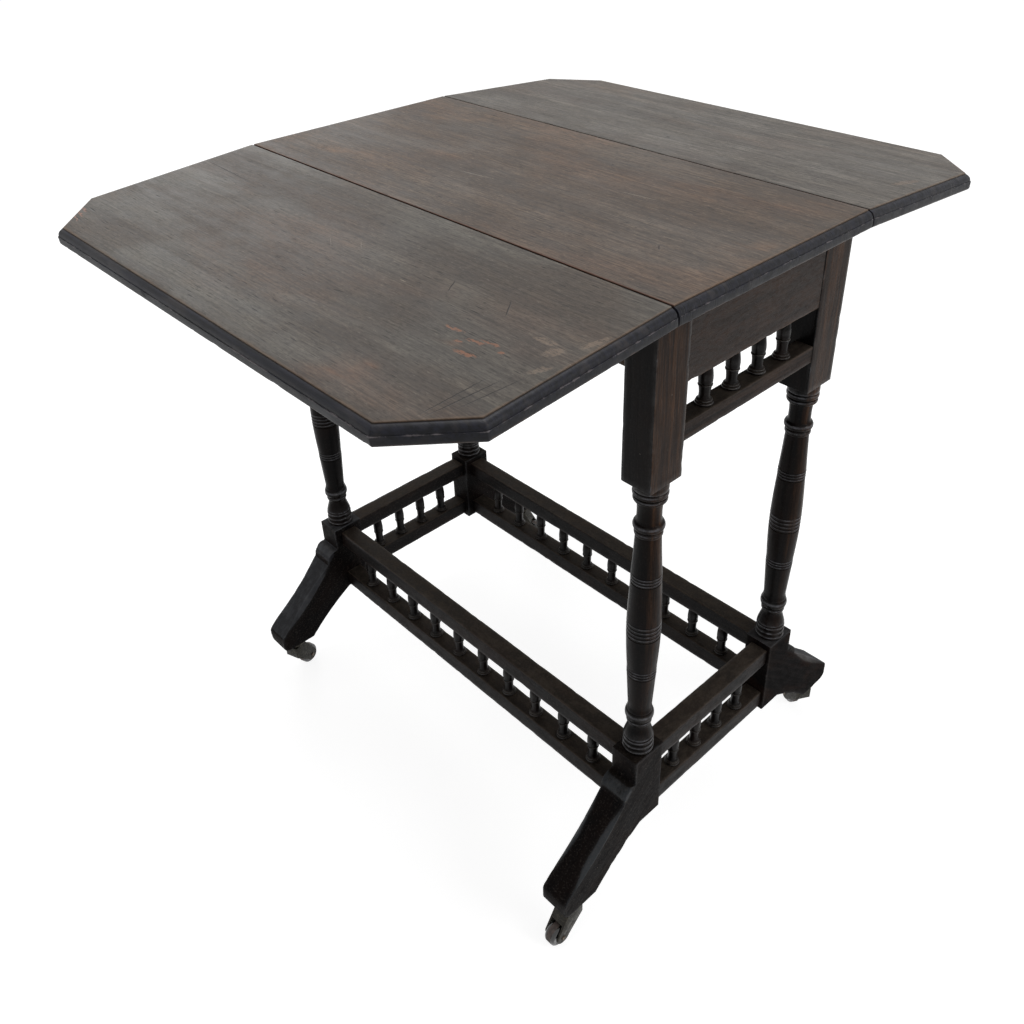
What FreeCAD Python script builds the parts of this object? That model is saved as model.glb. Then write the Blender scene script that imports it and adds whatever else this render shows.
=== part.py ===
import FreeCAD, Part
import math
import os
import Sketcher

# Butterfly folding table.  A narrow fixed top carries two canted drop leaves.
# The top stands on four turned legs with splayed feet on swivel castors, and
# spindle galleries tie the legs together.
# Frame: +Z up, X along the seams, origin on the floor under the middle of the top.
# Back is +Y, front is -Y, right is +X, left is -X.  All sizes are millimetres.

doc = FreeCAD.newDocument("ButterflyTable")
sheet = doc.addObject("Spreadsheet::Sheet", "Sizes")
pieces = []


# ---------------------------------------------------------------- sizes that know their expression
class Dim:
    """A size: its number now, and the expression that ties it to the sheet."""

    def __init__(self, value, text):
        self.value = float(value)
        self.text = text

    def __add__(self, other):
        other = as_dim(other)
        return Dim(self.value + other.value, "(%s + %s)" % (self.text, other.text))

    def __sub__(self, other):
        other = as_dim(other)
        return Dim(self.value - other.value, "(%s - %s)" % (self.text, other.text))

    def __mul__(self, other):
        other = as_dim(other)
        return Dim(self.value * other.value, "(%s * %s)" % (self.text, other.text))

    def __truediv__(self, other):
        other = as_dim(other)
        return Dim(self.value / other.value, "(%s / %s)" % (self.text, other.text))

    def __neg__(self):
        return Dim(-self.value, "(0 - %s)" % self.text)

    def __radd__(self, other):
        return as_dim(other) + self

    def __rsub__(self, other):
        return as_dim(other) - self

    def __rmul__(self, other):
        return as_dim(other) * self


def as_dim(item):
    """Take a plain number or a Dim and give a Dim."""
    if isinstance(item, Dim):
        return item
    return Dim(item, "%.6g" % item)


def size(name, value):
    """Write one driving size into the sheet and give it back as a Dim."""
    row = len(sheet_rows) + 1
    sheet_rows.append(name)
    sheet.set("A%d" % row, name)
    sheet.set("B%d" % row, str(value))
    sheet.setAlias("B%d" % row, name)
    return Dim(value, "Sizes.%s" % name)


def sine(angle):
    return Dim(math.sin(math.radians(angle.value)), "sin(%s * 1deg)" % angle.text)


def cosine(angle):
    return Dim(math.cos(math.radians(angle.value)), "cos(%s * 1deg)" % angle.text)


def root(area):
    return Dim(math.sqrt(area.value), "sqrt(%s)" % area.text)


sheet_rows = []

# Top
table_height = size("table_height", 694)
board_thickness = size("board_thickness", 16)
board_length = size("board_length", 579)
board_width = size("board_width", 257.6)
leaf_width = size("leaf_width", 231.3)
corner_cant = size("corner_cant", 51.6)
seam_gap = size("seam_gap", 0.6)
leaf_droop = size("leaf_droop", 3.9)
nose_radius = size("nose_radius", 3)
ledge_depth = size("ledge_depth", 7.2)
ledge_step = size("ledge_step", 0.8)
edge_inset = size("edge_inset", 6)
quirk_depth = size("quirk_depth", 1.4)
quirk_ledge = size("quirk_ledge", 0.8)
ovolo_rise = size("ovolo_rise", 1.25)

# Legs
end_overhang = size("end_overhang", 17)
leg_proud = size("leg_proud", 1.9)
leaf_relief = size("leaf_relief", 1.8)
block_across_x = size("block_across_x", 32)
block_across_y = size("block_across_y", 40)
upper_block_length = size("upper_block_length", 155)
collar_radius = size("collar_radius", 15.6)
collar_height = size("collar_height", 7.6)
collar_roll_height = size("collar_roll_height", 6)
collar_bead_height = size("collar_bead_height", 5)
base_ring_height = size("base_ring_height", 5.9)
base_rings = size("base_rings", 3)
bell_height = size("bell_height", 14)
neck_radius = size("neck_radius", 10.6)
neck_length = size("neck_length", 2)
ring_radius = size("ring_radius", 14.1)
low_ring_height = size("low_ring_height", 11)
high_ring_height = size("high_ring_height", 8)
ring_bead_height = size("ring_bead_height", 6)
ring_bead_radius = size("ring_bead_radius", 12.2)
upper_neck_length = size("upper_neck_length", 20.5)
shaft_radius = size("shaft_radius", 13.8)
swell_radius = size("swell_radius", 15.8)
low_band_share = size("low_band_share", 0.243)
swell_share = size("swell_share", 0.501)
high_band_share = size("high_band_share", 0.782)
band_height = size("band_height", 5)
swell_band_height = size("swell_band_height", 9)
band_rings = size("band_rings", 3)
swell_band_rings = size("swell_band_rings", 4)
band_depth = size("band_depth", 0.6)
groove_width = size("groove_width", 1)
shaft_flare = size("shaft_flare", 1)
peg_radius = size("peg_radius", 6)
peg_length = size("peg_length", 26)
peg_clearance = size("peg_clearance", 0.1)

# Feet
foot_block_bottom = size("foot_block_bottom", 104)
foot_block_height = size("foot_block_height", 97)
bead_drop = size("bead_drop", 30)
bead_height = size("bead_height", 13.5)
bead_reach = size("bead_reach", 15.8)
bead_fall = size("bead_fall", 4)
bead_step = size("bead_step", 1)
bead_ledge = size("bead_ledge", 4.3)
toe_reach = size("toe_reach", 99)
castor_height = size("castor_height", 55)
toe_thickness = size("toe_thickness", 24)
toe_radius = size("toe_radius", 8)
toe_flat = size("toe_flat", 36.5)
instep_start = size("instep_start", 10)
instep_radius = size("instep_radius", 300)

# Aprons, rails and their joints
apron_height = size("apron_height", 67)
end_apron_thickness = size("end_apron_thickness", 20)
end_apron_setback = size("end_apron_setback", 0.8)
long_apron_thickness = size("long_apron_thickness", 15)
upper_gallery_height = size("upper_gallery_height", 38)
upper_rail_height = size("upper_rail_height", 17)
upper_rail_depth = size("upper_rail_depth", 19)
upper_rail_setback = size("upper_rail_setback", 1)
lower_rail_margin = size("lower_rail_margin", 7)
foot_rail_margin = size("foot_rail_margin", 4)
lower_rail_height = size("lower_rail_height", 21)
lower_rail_depth = size("lower_rail_depth", 21)
lower_rail_setback = size("lower_rail_setback", 3.7)
tenon_length = size("tenon_length", 7)
tenon_thickness = size("tenon_thickness", 8)
tenon_shoulder = size("tenon_shoulder", 3)
mortise_clearance = size("mortise_clearance", 0.15)

# Spindles
long_row_count = size("long_row_count", 10)
short_row_count = size("short_row_count", 4)
spindle_radius = size("spindle_radius", 6.6)
spindle_neck_radius = size("spindle_neck_radius", 4.9)
spindle_foot_radius = size("spindle_foot_radius", 8)
spindle_foot_height = size("spindle_foot_height", 5)
spindle_peg_radius = size("spindle_peg_radius", 3)
spindle_peg_length = size("spindle_peg_length", 5)
spindle_clearance = size("spindle_clearance", 0.1)

# Back-flap hinges
hinge_margin = size("hinge_margin", 20.5)
hinge_length = size("hinge_length", 50)
hinge_pin_drop = size("hinge_pin_drop", 4)
hinge_pin_radius = size("hinge_pin_radius", 1.6)
knuckle_radius = size("knuckle_radius", 3)
knuckle_play = size("knuckle_play", 0.3)
flap_thickness = size("flap_thickness", 1.8)
fixed_flap_width = size("fixed_flap_width", 20)
moving_flap_width = size("moving_flap_width", 36)
hinge_fit = size("hinge_fit", 0.05)

# Stays under the leaves
stay_margin = size("stay_margin", 18.1)
stay_width = size("stay_width", 18)
stay_depth = size("stay_depth", 16)
stay_rise = size("stay_rise", 25)
stay_pin_radius = size("stay_pin_radius", 2.5)
stay_fit = size("stay_fit", 0.06)
stay_play = size("stay_play", 0.4)
stay_head_gap = size("stay_head_gap", 0.2)
bracket_plate = size("bracket_plate", 2.5)
bracket_cheek = size("bracket_cheek", 2.5)
bracket_height = size("bracket_height", 40)
bracket_margin = size("bracket_margin", 4)
bracket_nose = size("bracket_nose", 7)

# Screws
screw_length = size("screw_length", 11)
screw_radius = size("screw_radius", 1.5)
screw_head_radius = size("screw_head_radius", 2.9)
screw_head_height = size("screw_head_height", 1.6)
screw_clearance = size("screw_clearance", 0.05)

# Castors
castor_inset = size("castor_inset", 23)
castor_trail = size("castor_trail", 19)
wheel_radius = size("wheel_radius", 13)
wheel_width = size("wheel_width", 13)
tread_round = size("tread_round", 3)
axle_radius = size("axle_radius", 2.4)
axle_fit = size("axle_fit", 0.08)
axle_head = size("axle_head", 1)
fork_play = size("fork_play", 0.5)
fork_cheek = size("fork_cheek", 2.2)
fork_end_radius = size("fork_end_radius", 8.5)
fork_half_width = size("fork_half_width", 9)
fork_crown_height = size("fork_crown_height", 16)
fork_hub_radius = size("fork_hub_radius", 7.5)
fork_hub_height = size("fork_hub_height", 6.2)
swivel_gap = size("swivel_gap", 0.3)
stem_radius = size("stem_radius", 4)
stem_length = size("stem_length", 14)
stem_fit = size("stem_fit", 0.06)
castor_plate_radius = size("castor_plate_radius", 15)
castor_plate_thickness = size("castor_plate_thickness", 2.5)
turn_front_left = size("turn_front_left", 109)
turn_front_right = size("turn_front_right", 90)
turn_back_left = size("turn_back_left", 30)
turn_back_right = size("turn_back_right", 150)
doc.recompute()


# ---------------------------------------------------------------- small building helpers
def bind(obj, path, dim):
    """Tie one property of an object to the sheet."""
    obj.setExpression(path, as_dim(dim).text)


def place(obj, x=0, y=0, z=0, axis=None, angle=None):
    """Give an object its place, and a turn about an axis where it has one."""
    if axis is not None:
        turn = as_dim(angle)
        obj.Placement = FreeCAD.Placement(FreeCAD.Vector(0, 0, 0), FreeCAD.Rotation(axis, turn.value))
        if isinstance(angle, Dim):
            obj.setExpression("Placement.Rotation.Angle", "%s * 1deg" % turn.text)
    bind(obj, "Placement.Base.x", x)
    bind(obj, "Placement.Base.y", y)
    bind(obj, "Placement.Base.z", z)
    return obj


def piece(obj, name):
    """Name a finished sub-part: its label is also its file and node name."""
    obj.Label = name
    pieces.append(obj)
    return obj


def box(name, x, y, z):
    """A box between two planes along each axis, each given as (low, high)."""
    item = doc.addObject("Part::Box", name)
    bind(item, "Length", x[1] - x[0])
    bind(item, "Width", y[1] - y[0])
    bind(item, "Height", z[1] - z[0])
    return place(item, x[0], y[0], z[0])


def cylinder(name, radius, height, x, y, z, along="z"):
    """A cylinder that starts at a point and runs along +X, +Y or +Z."""
    item = doc.addObject("Part::Cylinder", name)
    bind(item, "Radius", radius)
    bind(item, "Height", height)
    if along == "x":
        return place(item, x, y, z, FreeCAD.Vector(0, 1, 0), 90)
    if along == "y":
        return place(item, x, y, z, FreeCAD.Vector(-1, 0, 0), 90)
    return place(item, x, y, z)


def fuse(name, parts):
    item = doc.addObject("Part::MultiFuse", name)
    item.Shapes = parts
    return item


def cut(name, base, tools):
    """The base less all the tools."""
    item = doc.addObject("Part::Cut", name)
    item.Base = base
    item.Tool = tools[0] if len(tools) == 1 else group(name + "_tools", tools)
    return item


def group(name, parts):
    item = doc.addObject("Part::Compound", name)
    item.Links = parts
    return item


def mirror(name, source, across):
    """The same piece on the other side of the middle, across X or across Y."""
    item = doc.addObject("Part::Mirroring", name)
    item.Source = source
    item.Base = FreeCAD.Vector(0, 0, 0)
    item.Normal = FreeCAD.Vector(1, 0, 0) if across == "x" else FreeCAD.Vector(0, 1, 0)
    return item


def new_body(name):
    item = doc.addObject("PartDesign::Body", name)
    if hasattr(item, "AllowCompound"):
        item.AllowCompound = True
    return item


def new_sketch(body, role, name, shift=None, turn=None):
    """A sketch on one of its body's own planes, moved along or turned about the plane if asked."""
    item = body.newObject("Sketcher::SketchObject", name)
    plane = [feature for feature in body.Origin.OriginFeatures if feature.Role == role][0]
    item.AttachmentSupport = [(plane, "")]
    item.MapMode = "FlatFace"
    if turn is not None:
        rotation = FreeCAD.Rotation(FreeCAD.Vector(0, 1, 0), turn)
        item.AttachmentOffset = FreeCAD.Placement(FreeCAD.Vector(0, 0, 0), rotation)
    if shift is not None:
        bind(item, "AttachmentOffset.Base.z", shift)
    return item


def arc_between(start, end, radius, side):
    """The short arc from start to end.  It bows to the right of its travel for side 1."""
    chord = end - start
    middle = (start + end) * 0.5
    half = chord.Length / 2
    radius = max(radius, half * 1.0001)
    rise = math.sqrt(radius * radius - half * half)
    right = FreeCAD.Vector(chord.y, -chord.x, 0)
    right.normalize()
    centre = middle - right * rise * side
    circle = Part.Circle(centre, FreeCAD.Vector(0, 0, 1), radius)
    first, last = (start, end) if side > 0 else (end, start)
    angles = [math.atan2(point.y - centre.y, point.x - centre.x) for point in (first, last)]
    return Part.ArcOfCircle(circle, angles[0], angles[1])


def outline(sketch, points):
    """A closed outline.  Each point is (x, y), or (x, y, radius, side) where an arc leaves it."""
    corners = [FreeCAD.Vector(as_dim(p[0]).value, as_dim(p[1]).value, 0) for p in points]
    count = len(points)
    starts = []
    ends = []
    for index, point in enumerate(points):
        start = corners[index]
        end = corners[(index + 1) % count]
        if len(point) == 2:
            sketch.addGeometry(Part.LineSegment(start, end), False)
            starts.append((index, 1))
            ends.append((index, 2))
            continue
        side = point[3]
        sketch.addGeometry(arc_between(start, end, as_dim(point[2]).value, side), False)
        starts.append((index, 1 if side > 0 else 2))
        ends.append((index, 2 if side > 0 else 1))
    for index in range(count):
        follow = (index + 1) % count
        sketch.addConstraint(Sketcher.Constraint("Coincident", *ends[index], *starts[follow]))
    for index, point in enumerate(points):
        geometry, vertex = starts[index]
        for kind, axis, value in (("DistanceX", -2, point[0]), ("DistanceY", -1, point[1])):
            dim = as_dim(value)
            if dim.text == "0":
                sketch.addConstraint(Sketcher.Constraint("PointOnObject", geometry, vertex, axis))
                continue
            number = sketch.addConstraint(
                Sketcher.Constraint(kind, -1, 1, geometry, vertex, dim.value))
            sketch.setExpression("Constraints[%d]" % number, dim.text)
        if len(point) == 4:
            radius = as_dim(point[2])
            number = sketch.addConstraint(Sketcher.Constraint("Radius", index, radius.value))
            sketch.setExpression("Constraints[%d]" % number, radius.text)
    return sketch


def rectangle(sketch, x, y):
    return outline(sketch, [(x[0], y[0]), (x[1], y[0]), (x[1], y[1]), (x[0], y[1])])


def circle(sketch, radius, x=0, y=0):
    """A circle about a point of the sketch."""
    radius = as_dim(radius)
    centre = FreeCAD.Vector(as_dim(x).value, as_dim(y).value, 0)
    index = sketch.addGeometry(Part.Circle(centre, FreeCAD.Vector(0, 0, 1), radius.value), False)
    for kind, axis, value in (("DistanceX", -2, x), ("DistanceY", -1, y)):
        dim = as_dim(value)
        if dim.text == "0":
            sketch.addConstraint(Sketcher.Constraint("PointOnObject", index, 3, axis))
            continue
        number = sketch.addConstraint(Sketcher.Constraint(kind, -1, 1, index, 3, dim.value))
        sketch.setExpression("Constraints[%d]" % number, dim.text)
    number = sketch.addConstraint(Sketcher.Constraint("Radius", index, radius.value))
    sketch.setExpression("Constraints[%d]" % number, radius.text)
    return sketch


def pad(body, sketch, length, both=False, back=False):
    """Grow a sketch into a solid, to both sides, or against the plane's own direction."""
    item = body.newObject("PartDesign::Pad", sketch.Name + "_pad")
    item.Profile = sketch
    bind(item, "Length", length)
    item.Midplane = both
    item.Reversed = back
    return item


def pocket(body, sketch, length=None, both=False, back=False):
    """Cut a sketch out of a solid, right through if it has no length."""
    item = body.newObject("PartDesign::Pocket", sketch.Name + "_pocket")
    item.Profile = sketch
    if length is None:
        item.Type = "ThroughAll"
    else:
        bind(item, "Length", length)
    item.Midplane = both
    item.Reversed = back
    return item


def turned(body, sketch):
    """Spin a sketch about its upright axis."""
    item = body.newObject("PartDesign::Revolution", sketch.Name + "_turned")
    item.Profile = sketch
    item.ReferenceAxis = (sketch, ["V_Axis"])
    item.Angle = 360
    return item


def bow(half, rise):
    """Radius of an arc over a chord of twice half that rises by rise."""
    return (half * half + rise * rise) / (2 * rise)


def ring(radius, low, high, peak):
    """A turned ring between two heights that stands out to the radius peak."""
    half = (high - low) / 2
    return [(radius, low, bow(half, peak - radius), 1), (radius, high)]


# ---------------------------------------------------------------- screws
def screw_shape(name, clearance, x, y, z, axis=None, angle=None):
    """A countersunk screw.  The flat of its head is at z = 0 and it points up before it is turned."""
    head = doc.addObject("Part::Cone", name + "_head")
    bind(head, "Radius1", screw_head_radius + clearance)
    bind(head, "Radius2", screw_radius + clearance)
    bind(head, "Height", screw_head_height)
    shank = cylinder(name + "_shank", screw_radius + clearance, screw_length + clearance, 0, 0, 0)
    return place(fuse(name, [head, shank]), x, y, z, axis, angle)


# ---------------------------------------------------------------- places shared by several pieces
underside = table_height - board_thickness
half_length = board_length / 2
block_outer_x = half_length - end_overhang
block_inner_x = block_outer_x - block_across_x
leg_x = block_outer_x - block_across_x / 2
block_outer_y = board_width / 2 + leg_proud
block_inner_y = block_outer_y - block_across_y
leg_y = block_outer_y - block_across_y / 2
upper_block_bottom = underside - upper_block_length
foot_block_top = foot_block_bottom + foot_block_height
apron_bottom = underside - apron_height
stay_pivot_height = apron_bottom + bracket_margin + bracket_height / 2
toe_bottom = castor_height
toe_top = toe_bottom + toe_thickness
hinge_centre_x = block_inner_x - hinge_margin - hinge_length / 2
bracket_across = stay_width + 2 * stay_play + 2 * bracket_cheek
stay_centre_x = hinge_centre_x - hinge_length / 2 - stay_margin - bracket_across / 2
hinge_y = board_width / 2 + seam_gap / 2
hinge_z = underside - hinge_pin_drop
toe_tip = block_outer_y + toe_reach
castor_y = toe_tip - castor_inset
turn_x = FreeCAD.Vector(-1, 0, 0)
half_turn = (FreeCAD.Vector(1, 0, 0), 180)


def on_leaf(obj):
    """Hang a piece drawn about the hinge pin on the back leaf, at the leaf's droop."""
    return place(obj, 0, hinge_y, hinge_z, turn_x, leaf_droop)


# ---------------------------------------------------------------- hinge screws, wanted by the boards
hinge_screw_step = (hinge_length / 2) * 0.68
fixed_screw_y = hinge_y - (fixed_flap_width + knuckle_radius) / 2
moving_screw_y = (moving_flap_width + knuckle_radius) / 2
hinge_screw_places = [(side * hinge_centre_x + step * hinge_screw_step)
                      for side in (1, -1) for step in (-1, 0, 1)]


def hinge_screws(name, y, z, clearance):
    return [screw_shape("%s_%d" % (name, index), clearance, x, y, z)
            for index, x in enumerate(hinge_screw_places)]


top_screw_z = underside - flap_thickness
leaf_screw_z = hinge_pin_drop - flap_thickness

# ---------------------------------------------------------------- top board and leaves
def moulded_edge(reach, low):
    """The edge moulding from the underside up: round nose, ledge, ovolo and quirk."""
    top = low + board_thickness
    ledge = top - ledge_depth
    quirk = top - quirk_depth
    across = edge_inset - quirk_ledge - ledge_step
    rise = ledge_depth - quirk_depth
    ovolo_radius = bow(root(across * across + rise * rise) / 2, ovolo_rise)
    return [(reach - nose_radius, low, nose_radius, 1), (reach, low + nose_radius),
            (reach, ledge), (reach - ledge_step, ledge, ovolo_radius, 1),
            (reach - edge_inset + quirk_ledge, quirk), (reach - edge_inset, quirk),
            (reach - edge_inset, top)]


def mirrored_edge(reach, low):
    """The same moulding on the other side, from the top down."""
    right = moulded_edge(reach, low)
    points = []
    for index in range(len(right) - 1, -1, -1):
        x, y = right[index][0], right[index][1]
        before = right[index - 1] if index > 0 else ()
        if len(before) == 4:
            points.append((-x, y, before[2], 1))
        else:
            points.append((-x, y))
    return points


def board_section(sketch, low):
    return outline(sketch, moulded_edge(half_length, low) + mirrored_edge(half_length, low))


def edge_waste(sketch, reach, low):
    """What a moulding plane takes off an edge that reaches so far out."""
    margin = corner_cant
    edge = moulded_edge(reach, low)
    top = low + board_thickness + margin
    ring_out = [(edge[-1][0], top), (reach + margin, top), (reach + margin, low - margin),
                (edge[0][0], low - margin)]
    return outline(sketch, edge[:-1] + ring_out)


board = new_body("board")
place(board, 0, 0, underside)
pad(board, board_section(new_sketch(board, "XZ_Plane", "board_section"), as_dim(0)), board_width, both=True)

top_pilots = hinge_screws("pilot_back", fixed_screw_y, top_screw_z, screw_clearance)
top_pilots += hinge_screws("pilot_front", -fixed_screw_y, top_screw_z, screw_clearance)
piece(cut("top", board, top_pilots), "top_board")

leaf = new_body("leaf")
leaf_near = seam_gap / 2
leaf_far = leaf_near + leaf_width
section = new_sketch(leaf, "XZ_Plane", "leaf_section", shift=-leaf_near)
pad(leaf, board_section(section, hinge_pin_drop), leaf_width, back=True)
cant_reach = (half_length + leaf_far - corner_cant) * math.sqrt(0.5)
for label, plane, turn, reach in (("long", "YZ_Plane", None, leaf_far),
                                  ("right_cant", "XZ_Plane", 45, cant_reach),
                                  ("left_cant", "XZ_Plane", 135, cant_reach)):
    waste = new_sketch(leaf, plane, "leaf_" + label, turn=turn)
    pocket(leaf, edge_waste(waste, reach, hinge_pin_drop), both=True)
leaf_pilots = hinge_screws("pilot_leaf", moving_screw_y, leaf_screw_z, screw_clearance)
leaf_back = piece(on_leaf(cut("leaf_drilled", leaf, leaf_pilots)), "leaf_back")
piece(mirror("leaf_front_mirror", leaf_back, "y"), "leaf_front")

# ---------------------------------------------------------------- joints between rails, blocks and spindles
def tenon_box(name, along, x, y, z, length, grow):
    """The tenon that runs past both ends of a rail, or the mortise for it when grown."""
    half_thickness = tenon_thickness / 2 + grow
    low = z[0] + tenon_shoulder - grow
    high = z[1] - tenon_shoulder + grow
    reach = length + tenon_length + grow
    if along == "x":
        middle = (y[0] + y[1]) / 2
        return box(name, (-reach, reach), (middle - half_thickness, middle + half_thickness), (low, high))
    middle = (x[0] + x[1]) / 2
    return box(name, (middle - half_thickness, middle + half_thickness), (-reach, reach), (low, high))


class Rail:
    """A straight member between two blocks, with a tenon at each end."""

    def __init__(self, name, along, cross, z):
        self.name = name
        self.along = along
        self.z = z
        self.half = block_inner_x if along == "x" else block_inner_y
        self.cross = cross
        self.x = (-self.half, self.half) if along == "x" else cross
        self.y = cross if along == "x" else (-self.half, self.half)

    def tenon(self, grow, suffix):
        return tenon_box(self.name + suffix, self.along, self.x, self.y, self.z, self.half, grow)

    def solid(self, sockets):
        blank = box(self.name + "_blank", self.x, self.y, self.z)
        whole = fuse(self.name + "_tenoned", [blank, self.tenon(as_dim(0), "_tenons")])
        return cut(self.name + "_bored", whole, sockets) if sockets else whole


def socket_row(name, along, count, span, across, z):
    """Round sockets for a row of spindles, evenly spread between two blocks."""
    depth = spindle_peg_length + spindle_clearance
    radius = spindle_peg_radius + spindle_clearance
    row = []
    for index in range(1, int(count.value) + 1):
        place_along = -span + (2 * span) * index / (count + 1)
        x, y = (place_along, across) if along == "x" else (across, place_along)
        row.append(cylinder("%s_%d" % (name, index), radius, depth, x, y, z))
    return row


end_apron_x = (block_outer_x - end_apron_setback - end_apron_thickness, block_outer_x - end_apron_setback)
long_apron_y = (block_inner_y, block_inner_y + long_apron_thickness)
upper_rail_x = (block_outer_x - upper_rail_setback - upper_rail_depth, block_outer_x - upper_rail_setback)
short_rail_x = (block_outer_x - lower_rail_setback - lower_rail_depth, block_outer_x - lower_rail_setback)
long_rail_y = (leg_y - lower_rail_depth / 2, leg_y + lower_rail_depth / 2)
apron_z = (apron_bottom, underside)
upper_rail_top = apron_bottom - upper_gallery_height
upper_rail_z = (upper_rail_top - upper_rail_height, upper_rail_top)
lower_top_z = (foot_block_top - lower_rail_margin - lower_rail_height, foot_block_top - lower_rail_margin)
lower_bottom_z = (foot_block_bottom + foot_rail_margin, foot_block_bottom + foot_rail_margin + lower_rail_height)
upper_spindle_x = (upper_rail_x[0] + upper_rail_x[1]) / 2
short_spindle_x = (short_rail_x[0] + short_rail_x[1]) / 2
long_spindle_y = (long_rail_y[0] + long_rail_y[1]) / 2
socket_depth = spindle_peg_length + spindle_clearance

end_apron = Rail("end_apron", "y", end_apron_x, apron_z)
long_apron = Rail("long_apron", "x", long_apron_y, apron_z)
upper_rail = Rail("upper_rail", "y", upper_rail_x, upper_rail_z)
short_top = Rail("short_top", "y", short_rail_x, lower_top_z)
short_bottom = Rail("short_bottom", "y", short_rail_x, lower_bottom_z)
long_top = Rail("long_top", "x", long_rail_y, lower_top_z)
long_bottom = Rail("long_bottom", "x", long_rail_y, lower_bottom_z)

# ---------------------------------------------------------------- stays: brackets, pins and the hinged props
bracket_face = long_apron_y[1]
stay_pivot_y = bracket_face + bracket_plate + stay_play + stay_depth / 2
stay_angle = stay_rise + leaf_droop
leaf_distance = (sine(leaf_droop) * (hinge_y - stay_pivot_y)
                 + cosine(leaf_droop) * (hinge_z - stay_pivot_height) + hinge_pin_drop - stay_head_gap)
stay_half = stay_depth / 2
stay_top_end = (leaf_distance - cosine(stay_angle) * stay_half) / sine(stay_angle)
stay_tip_end = (leaf_distance + cosine(stay_angle) * stay_half) / sine(stay_angle)

stay = new_body("stay")
stay_profile = outline(new_sketch(stay, "YZ_Plane", "stay_profile"), [
    (0, -stay_half), (stay_tip_end, -stay_half), (stay_top_end, stay_half), (0, stay_half)])
pad(stay, stay_profile, stay_width, both=True)
stay_eye = circle(new_sketch(stay, "YZ_Plane", "stay_eye"), stay_half)
pad(stay, stay_eye, stay_width, both=True)
stay_bore = circle(new_sketch(stay, "YZ_Plane", "stay_bore"), stay_pin_radius + stay_fit)
pocket(stay, stay_bore, both=True)
place(stay, stay_centre_x, stay_pivot_y, stay_pivot_height, FreeCAD.Vector(1, 0, 0), stay_rise)
stay_back_right = piece(stay, "stay_back_right")
stay_back_left = piece(mirror("stay_bl", stay_back_right, "x"), "stay_back_left")
piece(mirror("stay_fr", stay_back_right, "y"), "stay_front_right")
piece(mirror("stay_fl", stay_back_left, "y"), "stay_front_left")

bracket = new_body("bracket")
half_bracket = bracket_height / 2
nose_y = stay_pivot_y - bracket_face
plate_profile = new_sketch(bracket, "YZ_Plane", "bracket_profile")
rectangle(plate_profile, (as_dim(0), bracket_plate), (-half_bracket, half_bracket))
pad(bracket, plate_profile, bracket_across, both=True)
cheek_profile = outline(new_sketch(bracket, "YZ_Plane", "cheek_profile"), [
    (0, -half_bracket * 0.5), (nose_y, -bracket_nose), (nose_y, bracket_nose), (0, half_bracket * 0.5)])
pad(bracket, cheek_profile, bracket_across, both=True)
cheek_end = circle(new_sketch(bracket, "YZ_Plane", "cheek_end"), bracket_nose, nose_y, 0)
pad(bracket, cheek_end, bracket_across, both=True)
mouth = new_sketch(bracket, "YZ_Plane", "bracket_mouth")
rectangle(mouth, (bracket_plate, nose_y + bracket_height), (-bracket_height, bracket_height))
pocket(bracket, mouth, stay_width + 2 * stay_play, both=True)
pin_hole = circle(new_sketch(bracket, "YZ_Plane", "bracket_pin_hole"), stay_pin_radius + stay_fit, nose_y, 0)
pocket(bracket, pin_hole, both=True)
place(bracket, stay_centre_x, bracket_face, stay_pivot_height)

bracket_screw_rise = half_bracket * 0.78
bracket_screws = []
bracket_pilots = []
bracket_screw_turn = (FreeCAD.Vector(1, 0, 0), 90)
for sx in (1, -1):
    for step in (1, -1):
        at = (sx * stay_centre_x, bracket_face + bracket_plate, stay_pivot_height + step * bracket_screw_rise)
        name = "%s_%s" % ("r" if sx > 0 else "l", "u" if step > 0 else "d")
        bracket_screws.append(screw_shape("bracket_screw_" + name, as_dim(0), *at, *bracket_screw_turn))
        bracket_pilots.append(screw_shape("bracket_pilot_" + name, screw_clearance, *at, *bracket_screw_turn))
bracket_right = cut("bracket_right", bracket, bracket_pilots[:2])
bracket_left = mirror("bracket_left", bracket_right, "x")
brackets = [bracket_right, bracket_left]
brackets += [mirror("bracket_front_%d" % index, item, "y") for index, item in enumerate(brackets)]
piece(group("stay_bracket_set", brackets), "stay_brackets")
bracket_screws += [mirror("bracket_screw_f%d" % index, item, "y") for index, item in enumerate(bracket_screws)]
piece(group("bracket_screw_set", bracket_screws), "stay_bracket_screws")
pin_reach = bracket_across / 2
stay_pins = [cylinder("stay_pin_%d" % index, stay_pin_radius, 2 * pin_reach,
                      sx * stay_centre_x - pin_reach, sy * stay_pivot_y, stay_pivot_height, "x")
             for index, (sx, sy) in enumerate(((1, 1), (-1, 1), (1, -1), (-1, -1)))]
piece(group("stay_pin_set", stay_pins), "stay_pins")

# ---------------------------------------------------------------- aprons, rails and spindle rows
upper_row = socket_row("upper_row", "y", short_row_count, block_inner_y, upper_spindle_x,
                       upper_rail_z[1] - socket_depth)
apron_row = socket_row("apron_row", "y", short_row_count, block_inner_y, upper_spindle_x, apron_bottom)
short_low = socket_row("short_low", "y", short_row_count, block_inner_y, short_spindle_x,
                       lower_bottom_z[1] - socket_depth)
short_high = socket_row("short_high", "y", short_row_count, block_inner_y, short_spindle_x, lower_top_z[0])
long_low = socket_row("long_low", "x", long_row_count, block_inner_x, long_spindle_y,
                      lower_bottom_z[1] - socket_depth)
long_high = socket_row("long_high", "x", long_row_count, block_inner_x, long_spindle_y, lower_top_z[0])

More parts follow.
